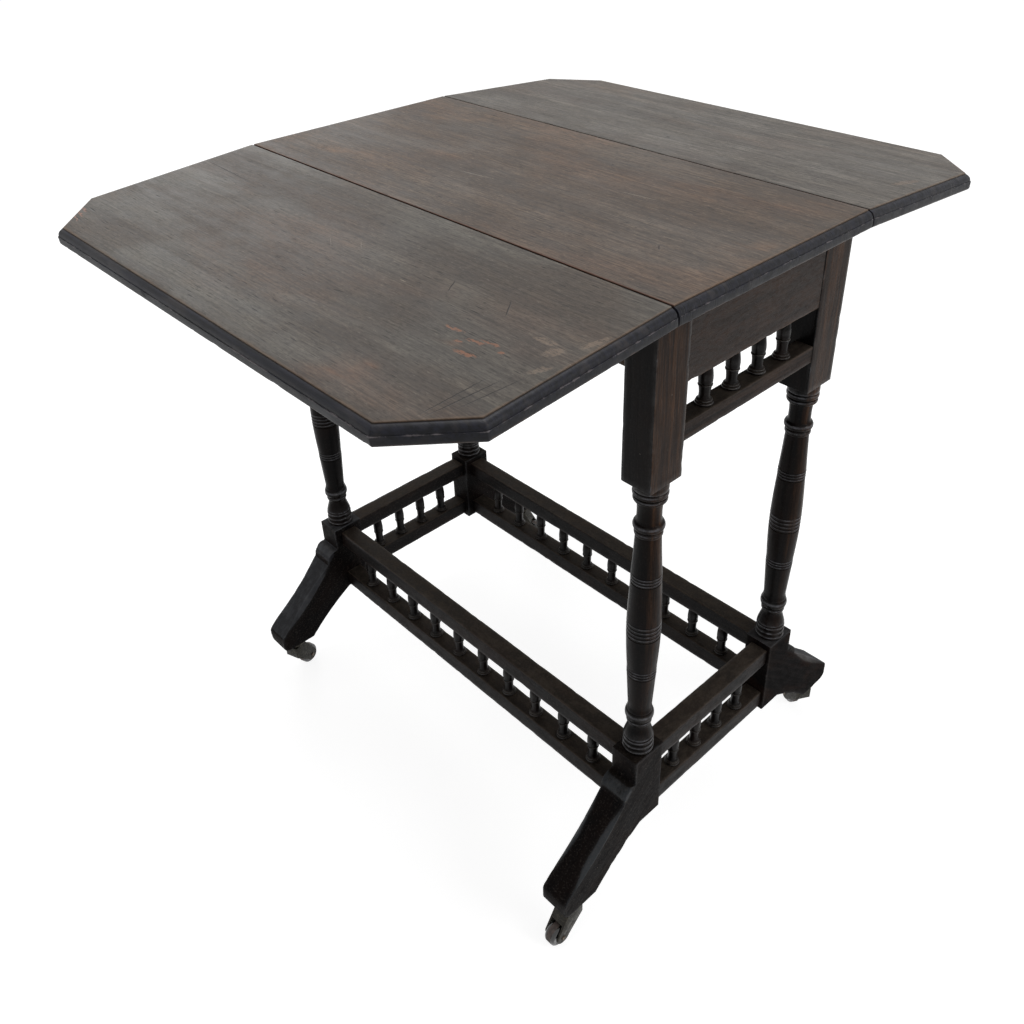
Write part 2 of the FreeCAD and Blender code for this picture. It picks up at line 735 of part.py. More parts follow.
for rail, sockets, right_name, left_name in (
        (end_apron, apron_row, "end_apron_right", "end_apron_left"),
        (upper_rail, upper_row, "upper_rail_right", "upper_rail_left"),
        (short_top, short_high, "lower_top_rail_right", "lower_top_rail_left"),
        (short_bottom, short_low, "lower_bottom_rail_right", "lower_bottom_rail_left")):
    right_piece = piece(rail.solid(sockets), right_name)
    piece(mirror(left_name + "_mirror", right_piece, "x"), left_name)
for rail, sockets, back_name, front_name in (
        (long_apron, bracket_pilots, "long_apron_back", "long_apron_front"),
        (long_top, long_high, "lower_top_rail_back", "lower_top_rail_front"),
        (long_bottom, long_low, "lower_bottom_rail_back", "lower_bottom_rail_front")):
    back_piece = piece(rail.solid(sockets), back_name)
    piece(mirror(front_name + "_mirror", back_piece, "y"), front_name)


def spindle_row(name, along, count, span, across, low, high):
    """One row of turned spindles, pegged into the rails above and below."""
    body = new_body(name)
    tall = high - low
    foot = spindle_foot_height
    waist = foot + (tall - foot) * 0.42
    shoulder = tall - foot * 0.35
    half_foot = foot / 2
    profile = [(0, -spindle_peg_length), (spindle_peg_radius, -spindle_peg_length), (spindle_peg_radius, 0)]
    profile += ring(spindle_foot_radius * 0.9, as_dim(0), half_foot * 1.2, spindle_foot_radius)
    profile += ring(spindle_foot_radius * 0.78, half_foot * 1.2, foot, spindle_foot_radius * 0.88)
    profile += [(spindle_neck_radius, foot + half_foot * 0.8),
                (spindle_neck_radius * 1.12, waist - foot * 0.6)]
    profile += ring(spindle_radius * 0.86, waist - foot * 0.25, waist + foot * 0.1, spindle_radius * 0.95)
    barrel = (shoulder - waist - foot * 0.1) / 2
    profile[-1] = (spindle_radius * 0.86, waist + foot * 0.1, bow(barrel, spindle_radius * 0.14), 1)
    profile += [(spindle_radius * 0.86, shoulder), (spindle_radius * 0.7, tall),
                (spindle_peg_radius, tall), (spindle_peg_radius, tall + spindle_peg_length),
                (0, tall + spindle_peg_length)]
    turned_spindle = turned(body, outline(new_sketch(body, "XZ_Plane", name + "_profile"), profile))
    row = body.newObject("PartDesign::LinearPattern", name + "_row")
    row.Originals = [turned_spindle]
    role = "X_Axis" if along == "x" else "Y_Axis"
    axis = [feature for feature in body.Origin.OriginFeatures if feature.Role == role][0]
    row.Direction = (axis, [""])
    pitch = (2 * span) / (count + 1)
    bind(row, "Length", pitch * (count - 1))
    bind(row, "Occurrences", count)
    body.Tip = row
    start = pitch - span
    if along == "x":
        return place(body, start, across, low)
    return place(body, across, start, low)


upper_spindles = piece(spindle_row("upper_spindle", "y", short_row_count, block_inner_y, upper_spindle_x,
                                   upper_rail_z[1], apron_bottom), "upper_spindles_right")
piece(mirror("upper_spindles_l", upper_spindles, "x"), "upper_spindles_left")
short_spindles = piece(spindle_row("short_spindle", "y", short_row_count, block_inner_y, short_spindle_x,
                                   lower_bottom_z[1], lower_top_z[0]), "lower_spindles_right")
piece(mirror("short_spindles_l", short_spindles, "x"), "lower_spindles_left")
long_spindles = piece(spindle_row("long_spindle", "x", long_row_count, block_inner_x, long_spindle_y,
                                  lower_bottom_z[1], lower_top_z[0]), "lower_spindles_back")
piece(mirror("long_spindles_f", long_spindles, "y"), "lower_spindles_front")

# ---------------------------------------------------------------- legs: a square block over a turned shaft
leg = new_body("leg")
base = foot_block_top
top = upper_block_bottom
inner_collar = collar_radius * 0.9


def fine_rings(radius, middle, height, count, depth):
    """A band of fine rings cut into the shaft, half above and half below a height."""
    step = 2 * height / count
    band = []
    for index in range(int(count.value)):
        low = middle - height + step * index
        band += ring(radius - depth, low + 0.05, low + step - 0.05, radius)
    return band


# Base: a stack of rings, then a shoulder that falls in to the lower neck.
leg_profile = [(0, base - peg_length), (peg_radius, base - peg_length), (peg_radius, base)]
stack = base
for index in range(int(base_rings.value)):
    leg_profile += ring(inner_collar, stack, stack + base_ring_height, collar_radius - groove_width * index / 4)
    stack = stack + base_ring_height + groove_width / 2
low_neck = stack + bell_height + neck_length
leg_profile += [(inner_collar, stack), (neck_radius, stack + bell_height), (neck_radius, low_neck)]
low_bead = low_neck + groove_width
low_ring = low_bead + ring_bead_height + groove_width / 2
leg_profile += ring(neck_radius + 0.5, low_bead, low_bead + ring_bead_height, ring_bead_radius)
leg_profile += ring(neck_radius + 0.5, low_ring, low_ring + low_ring_height, ring_radius)

# Shaft: it swells to the middle, with a band of fine rings below, at and above the swell.
shaft_low = low_ring + low_ring_height + groove_width
low_collar = top - collar_height - collar_roll_height - collar_bead_height - 3 * groove_width / 2
high_neck = low_collar - groove_width / 2
high_ring = high_neck - upper_neck_length - groove_width
high_bead = high_ring - high_ring_height - groove_width / 2
shaft_high = high_bead - ring_bead_height - groove_width
shaft_length = shaft_high - shaft_low
leg_profile += [(neck_radius + shaft_flare, shaft_low)]
for share, radius, height, count in ((low_band_share, shaft_radius, band_height, band_rings),
                                     (swell_share, swell_radius, swell_band_height, swell_band_rings),
                                     (high_band_share, shaft_radius, band_height, band_rings)):
    leg_profile += fine_rings(radius, shaft_low + shaft_length * share, height, count, band_depth)
leg_profile += [(neck_radius + 0.6, shaft_high)]

# A ring over a bead, the upper neck, then a bead, a roll and a round collar under the block.
leg_profile += ring(neck_radius + 0.4, high_bead - ring_bead_height, high_bead, ring_bead_radius)
leg_profile += ring(neck_radius + 0.4, high_ring - high_ring_height, high_ring, ring_radius)
leg_profile += [(neck_radius, high_ring + groove_width), (neck_radius, high_neck)]
collar_roll = low_collar + collar_bead_height + groove_width / 2
high_collar = collar_roll + collar_roll_height + groove_width / 2
leg_profile += ring(inner_collar * 0.95, low_collar, low_collar + collar_bead_height, collar_radius * 0.96)
leg_profile += ring(inner_collar, collar_roll, collar_roll + collar_roll_height, collar_radius)
leg_profile += ring(collar_radius * 0.96, high_collar, high_collar + collar_height, collar_radius * 0.99)
leg_profile += [(collar_radius * 0.96, top), (0, top)]
turned(leg, outline(new_sketch(leg, "XZ_Plane", "leg_profile"), leg_profile))
block_sketch = new_sketch(leg, "XY_Plane", "leg_block", shift=top)
rectangle(block_sketch, (-block_across_x / 2, block_across_x / 2), (-block_across_y / 2, block_across_y / 2))
pad(leg, block_sketch, underside - top)
place(leg, leg_x, leg_y, 0)
leg_cuts = [rail.tenon(mortise_clearance, "_mortise") for rail in (end_apron, long_apron, upper_rail)]
leg_cuts.append(box("leaf_relief_cut", (block_inner_x - tenon_length, block_outer_x + tenon_length),
                    (board_width / 2 - seam_gap, block_outer_y + leg_proud),
                    (underside - leaf_relief, underside + leaf_relief)))
leg_back_right = piece(cut("leg_mortised", leg, leg_cuts), "leg_back_right")
leg_back_left = piece(mirror("leg_bl", leg_back_right, "x"), "leg_back_left")
piece(mirror("leg_fr", leg_back_right, "y"), "leg_front_right")
piece(mirror("leg_fl", leg_back_left, "y"), "leg_front_left")

# ---------------------------------------------------------------- feet: block, bead, slope and toe in one plank
foot = new_body("foot")
bead_top = foot_block_top - bead_drop
bead_y = block_outer_y + bead_reach
slope_start = bead_top - bead_height - bead_fall
toe_under = toe_tip - toe_radius
heel_y = toe_under - toe_flat
instep_y = block_outer_y - instep_start
bead_roll = bead_reach - bead_ledge
bead_bow = (bead_roll * bead_roll + bead_height * bead_height) / (2 * bead_roll) * 1.06
foot_profile = outline(new_sketch(foot, "YZ_Plane", "foot_profile"), [
    (block_inner_y, foot_block_bottom), (instep_y, foot_block_bottom, instep_radius, -1),
    (heel_y, toe_bottom), (toe_under, toe_bottom, toe_radius, 1), (toe_tip, toe_bottom + toe_radius),
    (toe_tip, toe_top - toe_radius / 2, toe_radius, 1), (toe_tip - toe_radius / 2, toe_top + toe_radius / 4),
    (bead_y + bead_step, slope_start), (bead_y, bead_top - bead_height, bead_bow, 1),
    (block_outer_y + bead_ledge, bead_top), (block_outer_y, bead_top), (block_outer_y, foot_block_top),
    (block_inner_y, foot_block_top)])
pad(foot, foot_profile, block_across_x, both=True)
place(foot, leg_x, 0, 0)
peg_hole = cylinder("peg_hole", peg_radius + peg_clearance, peg_length + peg_clearance, leg_x, leg_y,
                    foot_block_top - peg_length - peg_clearance)
stem_hole_radius = stem_radius * 1.2
stem_hole = cylinder("stem_hole", stem_hole_radius, stem_length + 3 * swivel_gap, leg_x, castor_y, toe_bottom)
plate_low = toe_bottom - castor_plate_thickness
castor_screw_circle = (stem_hole_radius + castor_plate_radius) / 2
castor_screw_angles = (90, 210, 330)
foot_screws = []
foot_pilots = []
for number, angle in enumerate(castor_screw_angles):
    along_x = castor_screw_circle * math.cos(math.radians(angle))
    along_y = castor_screw_circle * math.sin(math.radians(angle))
    foot_screws.append((along_x, along_y))
    foot_pilots.append(screw_shape("foot_pilot_%d" % number, screw_clearance,
                                   leg_x + along_x, castor_y + along_y, plate_low))
foot_mortises = [rail.tenon(mortise_clearance, "_foot_mortise")
                 for rail in (short_top, short_bottom, long_top, long_bottom)]
foot_cuts = [peg_hole, stem_hole] + foot_mortises + foot_pilots
foot_back_right = piece(cut("foot_cut", foot, foot_cuts), "foot_back_right")
foot_back_left = piece(mirror("foot_bl", foot_back_right, "x"), "foot_back_left")
piece(mirror("foot_fr", foot_back_right, "y"), "foot_front_right")
piece(mirror("foot_fl", foot_back_left, "y"), "foot_front_left")

# ---------------------------------------------------------------- back-flap hinges
segment = hinge_length / 5
top_screws = hinge_screws("top_screw_back", fixed_screw_y, top_screw_z, as_dim(0))
top_screws += hinge_screws("top_screw_front", -fixed_screw_y, top_screw_z, as_dim(0))
piece(group("top_screw_set", top_screws), "hinge_screws_top")
leaf_screws = on_leaf(group("leaf_screw_set", hinge_screws("leaf_screw", moving_screw_y, leaf_screw_z, as_dim(0))))
piece(leaf_screws, "hinge_screws_leaf_back")
piece(mirror("leaf_screws_f", leaf_screws, "y"), "hinge_screws_leaf_front")

clear_of_knuckle = knuckle_radius + knuckle_play


def flap(name, x, edge, out, z, barrel_z, numbers, play, pilots):
    """A hinge flap with its knuckles.  It runs from the pin's edge line out to a far line."""
    sign = 1 if out.value > edge.value else -1
    near = edge + sign * clear_of_knuckle
    low_y, high_y = (near, out) if sign > 0 else (out, near)
    first_x = x - hinge_length / 2
    parts = [box(name + "_plate", (first_x, first_x + hinge_length), (low_y, high_y), z)]
    for number in numbers:
        low_x = first_x + segment * number + play
        high_x = first_x + segment * (number + 1) - play
        tongue_y = (edge, high_y) if sign > 0 else (low_y, edge)
        parts.append(box("%s_tongue_%d" % (name, number), (low_x, high_x), tongue_y, z))
        parts.append(cylinder("%s_knuckle_%d" % (name, number), knuckle_radius, high_x - low_x,
                              low_x, edge, barrel_z, "x"))
    bore = cylinder(name + "_bore", hinge_pin_radius + hinge_fit, hinge_length + 2 * play,
                    first_x - play, edge, barrel_z, "x")
    return cut(name, fuse(name + "_whole", parts), [bore] + pilots)


fixed_right = flap("fixed_right", hinge_centre_x, hinge_y, hinge_y - fixed_flap_width,
                   (underside - flap_thickness, underside), hinge_z, (0, 2, 4), as_dim(0), top_pilots[0:3])
fixed_left = mirror("fixed_left", fixed_right, "x")
fixed_flaps = [fixed_right, fixed_left]
fixed_flaps += [mirror("fixed_front_%d" % index, item, "y") for index, item in enumerate(fixed_flaps)]
piece(group("fixed_flap_set", fixed_flaps), "hinge_flaps_top")
moving_right = flap("moving_right", hinge_centre_x, as_dim(0), moving_flap_width,
                    (hinge_pin_drop - flap_thickness, hinge_pin_drop), as_dim(0), (1, 3), knuckle_play,
                    leaf_pilots[0:3])
moving_left = mirror("moving_left", moving_right, "x")
moving_flaps = piece(on_leaf(group("moving_flap_set", [moving_right, moving_left])), "hinge_flaps_back")
piece(mirror("moving_flaps_f", moving_flaps, "y"), "hinge_flaps_front")
hinge_pins = [cylinder("hinge_pin_%d" % index, hinge_pin_radius, hinge_length,
                       sx * hinge_centre_x - hinge_length / 2, sy * hinge_y, hinge_z, "x")
              for index, (sx, sy) in enumerate(((1, 1), (-1, 1), (1, -1), (-1, -1)))]
piece(group("hinge_pin_set", hinge_pins), "hinge_pins")

# ---------------------------------------------------------------- castors
fork_inner = wheel_width / 2 + fork_play
fork_outer = fork_inner + fork_cheek
fork_top = plate_low - swivel_gap
fork_crown_top = fork_top - fork_hub_height
fork_crown_bottom = fork_crown_top - fork_crown_height
axle_half = fork_outer + axle_head
corners = (("front_left", -1, -1, 1, turn_front_left), ("front_right", 1, -1, -1, turn_front_right),
           ("back_left", -1, 1, 1, turn_back_left), ("back_right", 1, 1, 1, turn_back_right))

plates = []
plate_screws = []
for corner, sx, sy, sense, turn in corners:
    x = sx * leg_x
    y = sy * castor_y
    disc = cylinder("plate_disc_" + corner, castor_plate_radius, castor_plate_thickness, x, y, plate_low)
    bush = cylinder("plate_bush_" + corner, stem_radius + stem_fit, castor_plate_thickness, x, y, plate_low)
    holes = []
    for number, (along_x, along_y) in enumerate(foot_screws):
        at = (sx * (leg_x + along_x), sy * (castor_y + along_y), plate_low)
        holes.append(screw_shape("plate_hole_%s_%d" % (corner, number), screw_clearance, *at))
        plate_screws.append(screw_shape("plate_screw_%s_%d" % (corner, number), as_dim(0), *at))
    plates.append(cut("plate_" + corner, disc, [bush] + holes))
piece(group("castor_plate_set", plates), "castor_plates")
piece(group("castor_screw_set", plate_screws), "castor_screws")

for corner, sx, sy, sense, turn in corners:
    x = sx * leg_x
    y = sy * castor_y
    spin = FreeCAD.Vector(0, 0, sense)

    # Fork: two cheeks that lean back to the axle, a crown over the wheel, hub and stem.
    fork = new_body("fork_" + corner)
    end_far = castor_trail + fork_end_radius * math.cos(math.radians(25))
    end_far_z = wheel_radius + fork_end_radius * math.sin(math.radians(25))
    end_near = castor_trail - fork_end_radius * math.cos(math.radians(15))
    end_near_z = wheel_radius - fork_end_radius * math.sin(math.radians(15))
    side_view = outline(new_sketch(fork, "XZ_Plane", "fork_side_" + corner), [
        (-fork_half_width, fork_crown_bottom), (end_near, end_near_z, fork_end_radius, 1),
        (end_far, end_far_z), (fork_half_width, fork_crown_top), (-fork_half_width, fork_crown_top)])
    pad(fork, side_view, 2 * fork_outer, both=True)
    hub = circle(new_sketch(fork, "XY_Plane", "fork_hub_" + corner, shift=fork_crown_top), fork_hub_radius)
    pad(fork, hub, fork_top - fork_crown_top)
    stem = circle(new_sketch(fork, "XY_Plane", "fork_stem_" + corner, shift=fork_top), stem_radius)
    pad(fork, stem, stem_length + castor_plate_thickness + swivel_gap)
    slot = new_sketch(fork, "XZ_Plane", "fork_slot_" + corner)
    rectangle(slot, (-castor_trail - wheel_radius, castor_trail + 2 * wheel_radius),
              (-wheel_radius, fork_crown_bottom))
    pocket(fork, slot, 2 * fork_inner, both=True)
    eye = circle(new_sketch(fork, "XZ_Plane", "fork_eye_" + corner), axle_radius + axle_fit / 2,
                 castor_trail, wheel_radius)
    pocket(fork, eye, both=True)
    piece(place(fork, x, y, 0, spin, turn), "castor_fork_" + corner)

    # Wheel: rounded tread on a plain disc, turned about its axle.
    wheel = new_body("wheel_" + corner)
    half = wheel_width / 2
    bore = axle_radius + axle_fit
    shoulder = wheel_radius - tread_round
    wheel_profile = outline(new_sketch(wheel, "XZ_Plane", "wheel_profile_" + corner), [
        (bore, -half), (shoulder, -half, tread_round, 1), (wheel_radius, -half + tread_round),
        (wheel_radius, half - tread_round, tread_round, 1), (shoulder, half), (bore, half)])
    turned(wheel, wheel_profile)
    wheel_on_axle = group("wheel_upright_" + corner, [wheel])
    place(wheel, castor_trail, 0, wheel_radius, FreeCAD.Vector(1, 0, 0), 90)
    piece(place(wheel_on_axle, x, y, 0, spin, turn), "castor_wheel_" + corner)

    # Axle: a plain pin through both cheeks.
    rod = cylinder("axle_rod_" + corner, axle_radius, 2 * axle_half, castor_trail, -axle_half, wheel_radius, "y")
    axle = group("axle_upright_" + corner, [rod])
    piece(place(axle, x, y, 0, spin, turn), "castor_axle_" + corner)

# ---------------------------------------------------------------- check and write
doc.recompute()
faults = []
for obj in doc.Objects:
    if "Invalid" in obj.State or "Error" in obj.State:
        faults.append("%s (%s): %s" % (obj.Name, obj.Label, obj.State))
for obj in pieces:
    if obj.Shape.isNull() or not obj.Shape.isValid() or not obj.Shape.Solids:
        faults.append("%s has no valid shape" % obj.Label)
if faults:
    raise RuntimeError("the model did not build: " + "; ".join(faults))

os.makedirs("parts", exist_ok=True)
for obj in pieces:
    obj.Shape.exportStep("parts/%s.step" % obj.Label)
    bounds = obj.Shape.BoundBox
    print("%-28s solids %2d volume %10.1f  x %.1f..%.1f y %.1f..%.1f z %.1f..%.1f" % (
        obj.Label, len(obj.Shape.Solids), obj.Shape.Volume, bounds.XMin, bounds.XMax,
        bounds.YMin, bounds.YMax, bounds.ZMin, bounds.ZMax))
print("nodes", len(pieces))
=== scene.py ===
import math
import random

import bmesh
import bpy
from mathutils import Matrix, Vector, noise


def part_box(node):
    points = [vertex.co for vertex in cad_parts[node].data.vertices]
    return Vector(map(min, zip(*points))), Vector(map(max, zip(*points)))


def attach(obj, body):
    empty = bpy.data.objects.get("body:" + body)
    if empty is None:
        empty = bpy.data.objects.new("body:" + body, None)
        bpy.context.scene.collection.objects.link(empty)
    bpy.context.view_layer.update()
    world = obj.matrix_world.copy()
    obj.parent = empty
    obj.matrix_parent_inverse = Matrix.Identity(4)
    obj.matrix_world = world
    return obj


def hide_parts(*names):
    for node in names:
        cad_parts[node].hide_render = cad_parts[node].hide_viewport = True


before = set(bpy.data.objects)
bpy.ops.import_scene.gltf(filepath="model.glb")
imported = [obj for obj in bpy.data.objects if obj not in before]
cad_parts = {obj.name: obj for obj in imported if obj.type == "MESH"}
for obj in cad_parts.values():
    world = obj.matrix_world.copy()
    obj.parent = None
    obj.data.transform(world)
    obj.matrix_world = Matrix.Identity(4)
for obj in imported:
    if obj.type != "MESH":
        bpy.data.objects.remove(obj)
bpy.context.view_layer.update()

# ---------------------------------------------------------------- the top
# A fixed middle board between two drop leaves, each one 16 mm board of plain hardwood, stained
# nearly black and waxed, and since worn back to a dull grey brown.  A quirk, a quarter round and
# a nosed lower edge run along every outer edge, and the outer corners of the leaves are cut off.
MM = 0.001
half_length = 289.5
middle_half_width = 128.8
leaf_start, leaf_end, cant = 0.3, 231.6, 51.6
pin_y, pin_z, pin_drop = 129.1, 674.0, 4.0
board_thickness = 16.0
droop = math.radians(3.9)
arris_inset, quirk_depth, nose_radius = 6.0, 1.4, 3.0
mark_level, mark_reach = 684.0, 9000.0
cloudy_width, flaky_width = 12, 2


class Wire:
    """A value that changes over a surface.  Sums written with wires add their own nodes."""

    def __init__(self, finish, socket):
        self.finish = finish
        self.socket = socket

    def pick(self, name):
        """Another output of the same node."""
        return Wire(self.finish, self.socket.node.outputs[name])

    def sign(operation, turned=False):
        """What one sign of arithmetic does, or its reflected form."""
        def work_out(self, *other):
            values = (*other, self) if turned else (self, *other)
            return self.finish.add("ShaderNodeMath", {"operation": operation}, values)
        return work_out

    __add__, __radd__ = sign("ADD"), sign("ADD", True)
    __sub__, __rsub__ = sign("SUBTRACT"), sign("SUBTRACT", True)
    __mul__, __rmul__ = sign("MULTIPLY"), sign("MULTIPLY", True)
    __truediv__, __abs__ = sign("DIVIDE"), sign("ABSOLUTE")


class Finish:
    """The nodes of one wood or metal finish, or of the room, built up in layers."""

    def __init__(self, owner):
        owner.use_nodes = True
        self.owner = owner
        self.tree = owner.node_tree
        self.tree.nodes.clear()

    def add(self, kind, settings, values, out=0):
        """A node: its settings first, then the values or wires of its sockets."""
        node = self.tree.nodes.new(kind)
        for key, value in settings.items():
            setattr(node, key, value)
        for key, value in (values.items() if isinstance(values, dict) else enumerate(values)):
            if isinstance(value, Wire):
                self.tree.links.new(value.socket, node.inputs[key])
            else:
                node.inputs[key].default_value = value
        return Wire(self, node.outputs[out]) if len(node.outputs) else node

    def attribute(self, name, out="Fac"):
        """What the mesh itself holds under a name."""
        return self.add("ShaderNodeAttribute", {"attribute_name": name}, (), out)

    def ease(self, value, low, high):
        """0 at low and 1 at high, with a soft start and end."""
        return self.add("ShaderNodeMapRange", {"interpolation_type": "SMOOTHSTEP"}, {0: value, 1: low, 2: high})

    def layer(self, amount, under, over):
        """A colour laid over another."""
        return self.add("ShaderNodeMix", {"data_type": "RGBA"}, {0: amount, 6: under, 7: over}, 2)

    def most(self, first, *rest, operation="MAXIMUM"):
        """The greatest of some values, or the least."""
        for value in rest:
            first = self.add("ShaderNodeMath", {"operation": operation}, [first, value])
        return first

    def cloud(self, at, size, detail=3.0, rough=0.55, warp=0.0):
        """Soft random patches of the given size in mm, 0.5 on average."""
        scaled = self.add("ShaderNodeMapping", {}, {"Vector": at, "Scale": tuple(1 / s for s in size)})
        return self.add("ShaderNodeTexNoise", {}, {"Vector": scaled, "Scale": 1.0, "Detail": detail,
                                                   "Roughness": rough, "Distortion": warp})

    def ragged(self, at, reach, size):
        """The same places, pushed about by up to a few mm so that what is drawn there is uneven."""
        push = self.add("ShaderNodeTexNoise", {}, {"Vector": at, "Scale": 1 / size, "Detail": 2.0}, "Color")
        push = self.add("ShaderNodeVectorMath", {"operation": "SUBTRACT"}, [push, (0.5, 0.5, 0.5)])
        push = self.add("ShaderNodeVectorMath", {"operation": "SCALE"}, {0: push, "Scale": reach * 2})
        return self.add("ShaderNodeVectorMath", {"operation": "ADD"}, [at, push])

    def dashes(self, at, angle, pitch, breadth, slim, share, shift=0.0):
        """Thin strokes: one in some of the cells of a field, at an angle to the grain."""
        turned = self.add("ShaderNodeMapping", {},
                          {"Vector": at, "Location": (shift, shift * 0.7, shift * 0.3),
                           "Rotation": (0.0, 0.0, math.radians(angle)),
                           "Scale": (1 / pitch, 1 / breadth, 1 / pitch)})
        near = self.add("ShaderNodeTexVoronoi", {}, {"Vector": turned, "Scale": 1.0}, "Distance")
        chosen = self.add("ShaderNodeSeparateColor", {}, [near.pick("Color")])
        return self.ease(near, slim, slim * 0.4) * self.ease(chosen, 1 - share, 1 - share * 0.8)

    def stroke(self, at, start, end, width, core=0.55):
        """A single line or oval mark from one place to another, in mm on the top."""
        run = Vector(end) - Vector(start)
        middle = (Vector(end) + Vector(start)) / 2
        local = self.add("ShaderNodeMapping", {"vector_type": "TEXTURE"},
                         {"Vector": at, "Location": (middle.x, middle.y, mark_level),
                          "Rotation": (0.0, 0.0, math.atan2(run.y, run.x)),
                          "Scale": (run.length / 2, width / 2, mark_reach)})
        far = self.add("ShaderNodeVectorMath", {"operation": "LENGTH"}, [local], "Value")
        return self.ease(far, 1.0, core)

    def position(self):
        """Places in mm on the table, the first of their three parts, and the way the surface faces."""
        place = self.add("ShaderNodeTexCoord", {}, (), "Object")
        in_mm = self.add("ShaderNodeVectorMath", {"operation": "SCALE"}, {0: place, "Scale": 1 / MM})
        return in_mm, self.add("ShaderNodeSeparateXYZ", {}, [in_mm], "X"), place.pick("Normal")

    def grain(self, shift):
        """Places along and across the grain in mm, different in every piece."""
        at, own = self.attribute("grain", "Vector"), self.attribute("shift")
        away = self.add("ShaderNodeCombineXYZ", {}, [own * 310 + shift, own * 170 + shift * 0.6, own * 230])
        return self.add("ShaderNodeVectorMath", {"operation": "ADD"}, [at, away])

    def surface(self, colour, roughness, height, lift, gloss, metal=0.0, coat=0.0):
        """Joins the layers.  Lift is how far the highest grain stands over the lowest, in mm."""
        normal = self.add("ShaderNodeBump", {}, {"Distance": lift * MM, "Height": height})
        skin = self.add("ShaderNodeBsdfPrincipled", {},
                        {"Base Color": colour, "Roughness": roughness, "Metallic": metal, "Specular IOR Level": gloss,
                         "Coat Weight": coat, "Coat Roughness": 0.2, "Normal": normal})
        self.add("ShaderNodeOutputMaterial", {}, {"Surface": skin})
        return self.owner


def tone(red, green, blue):
    """A colour given as it looks on a card."""
    parts = [value / 255 for value in (red, green, blue)]
    return tuple(((p + 0.055) / 1.055) ** 2.4 if p > 0.04045 else p / 12.92 for p in parts) + (1.0,)


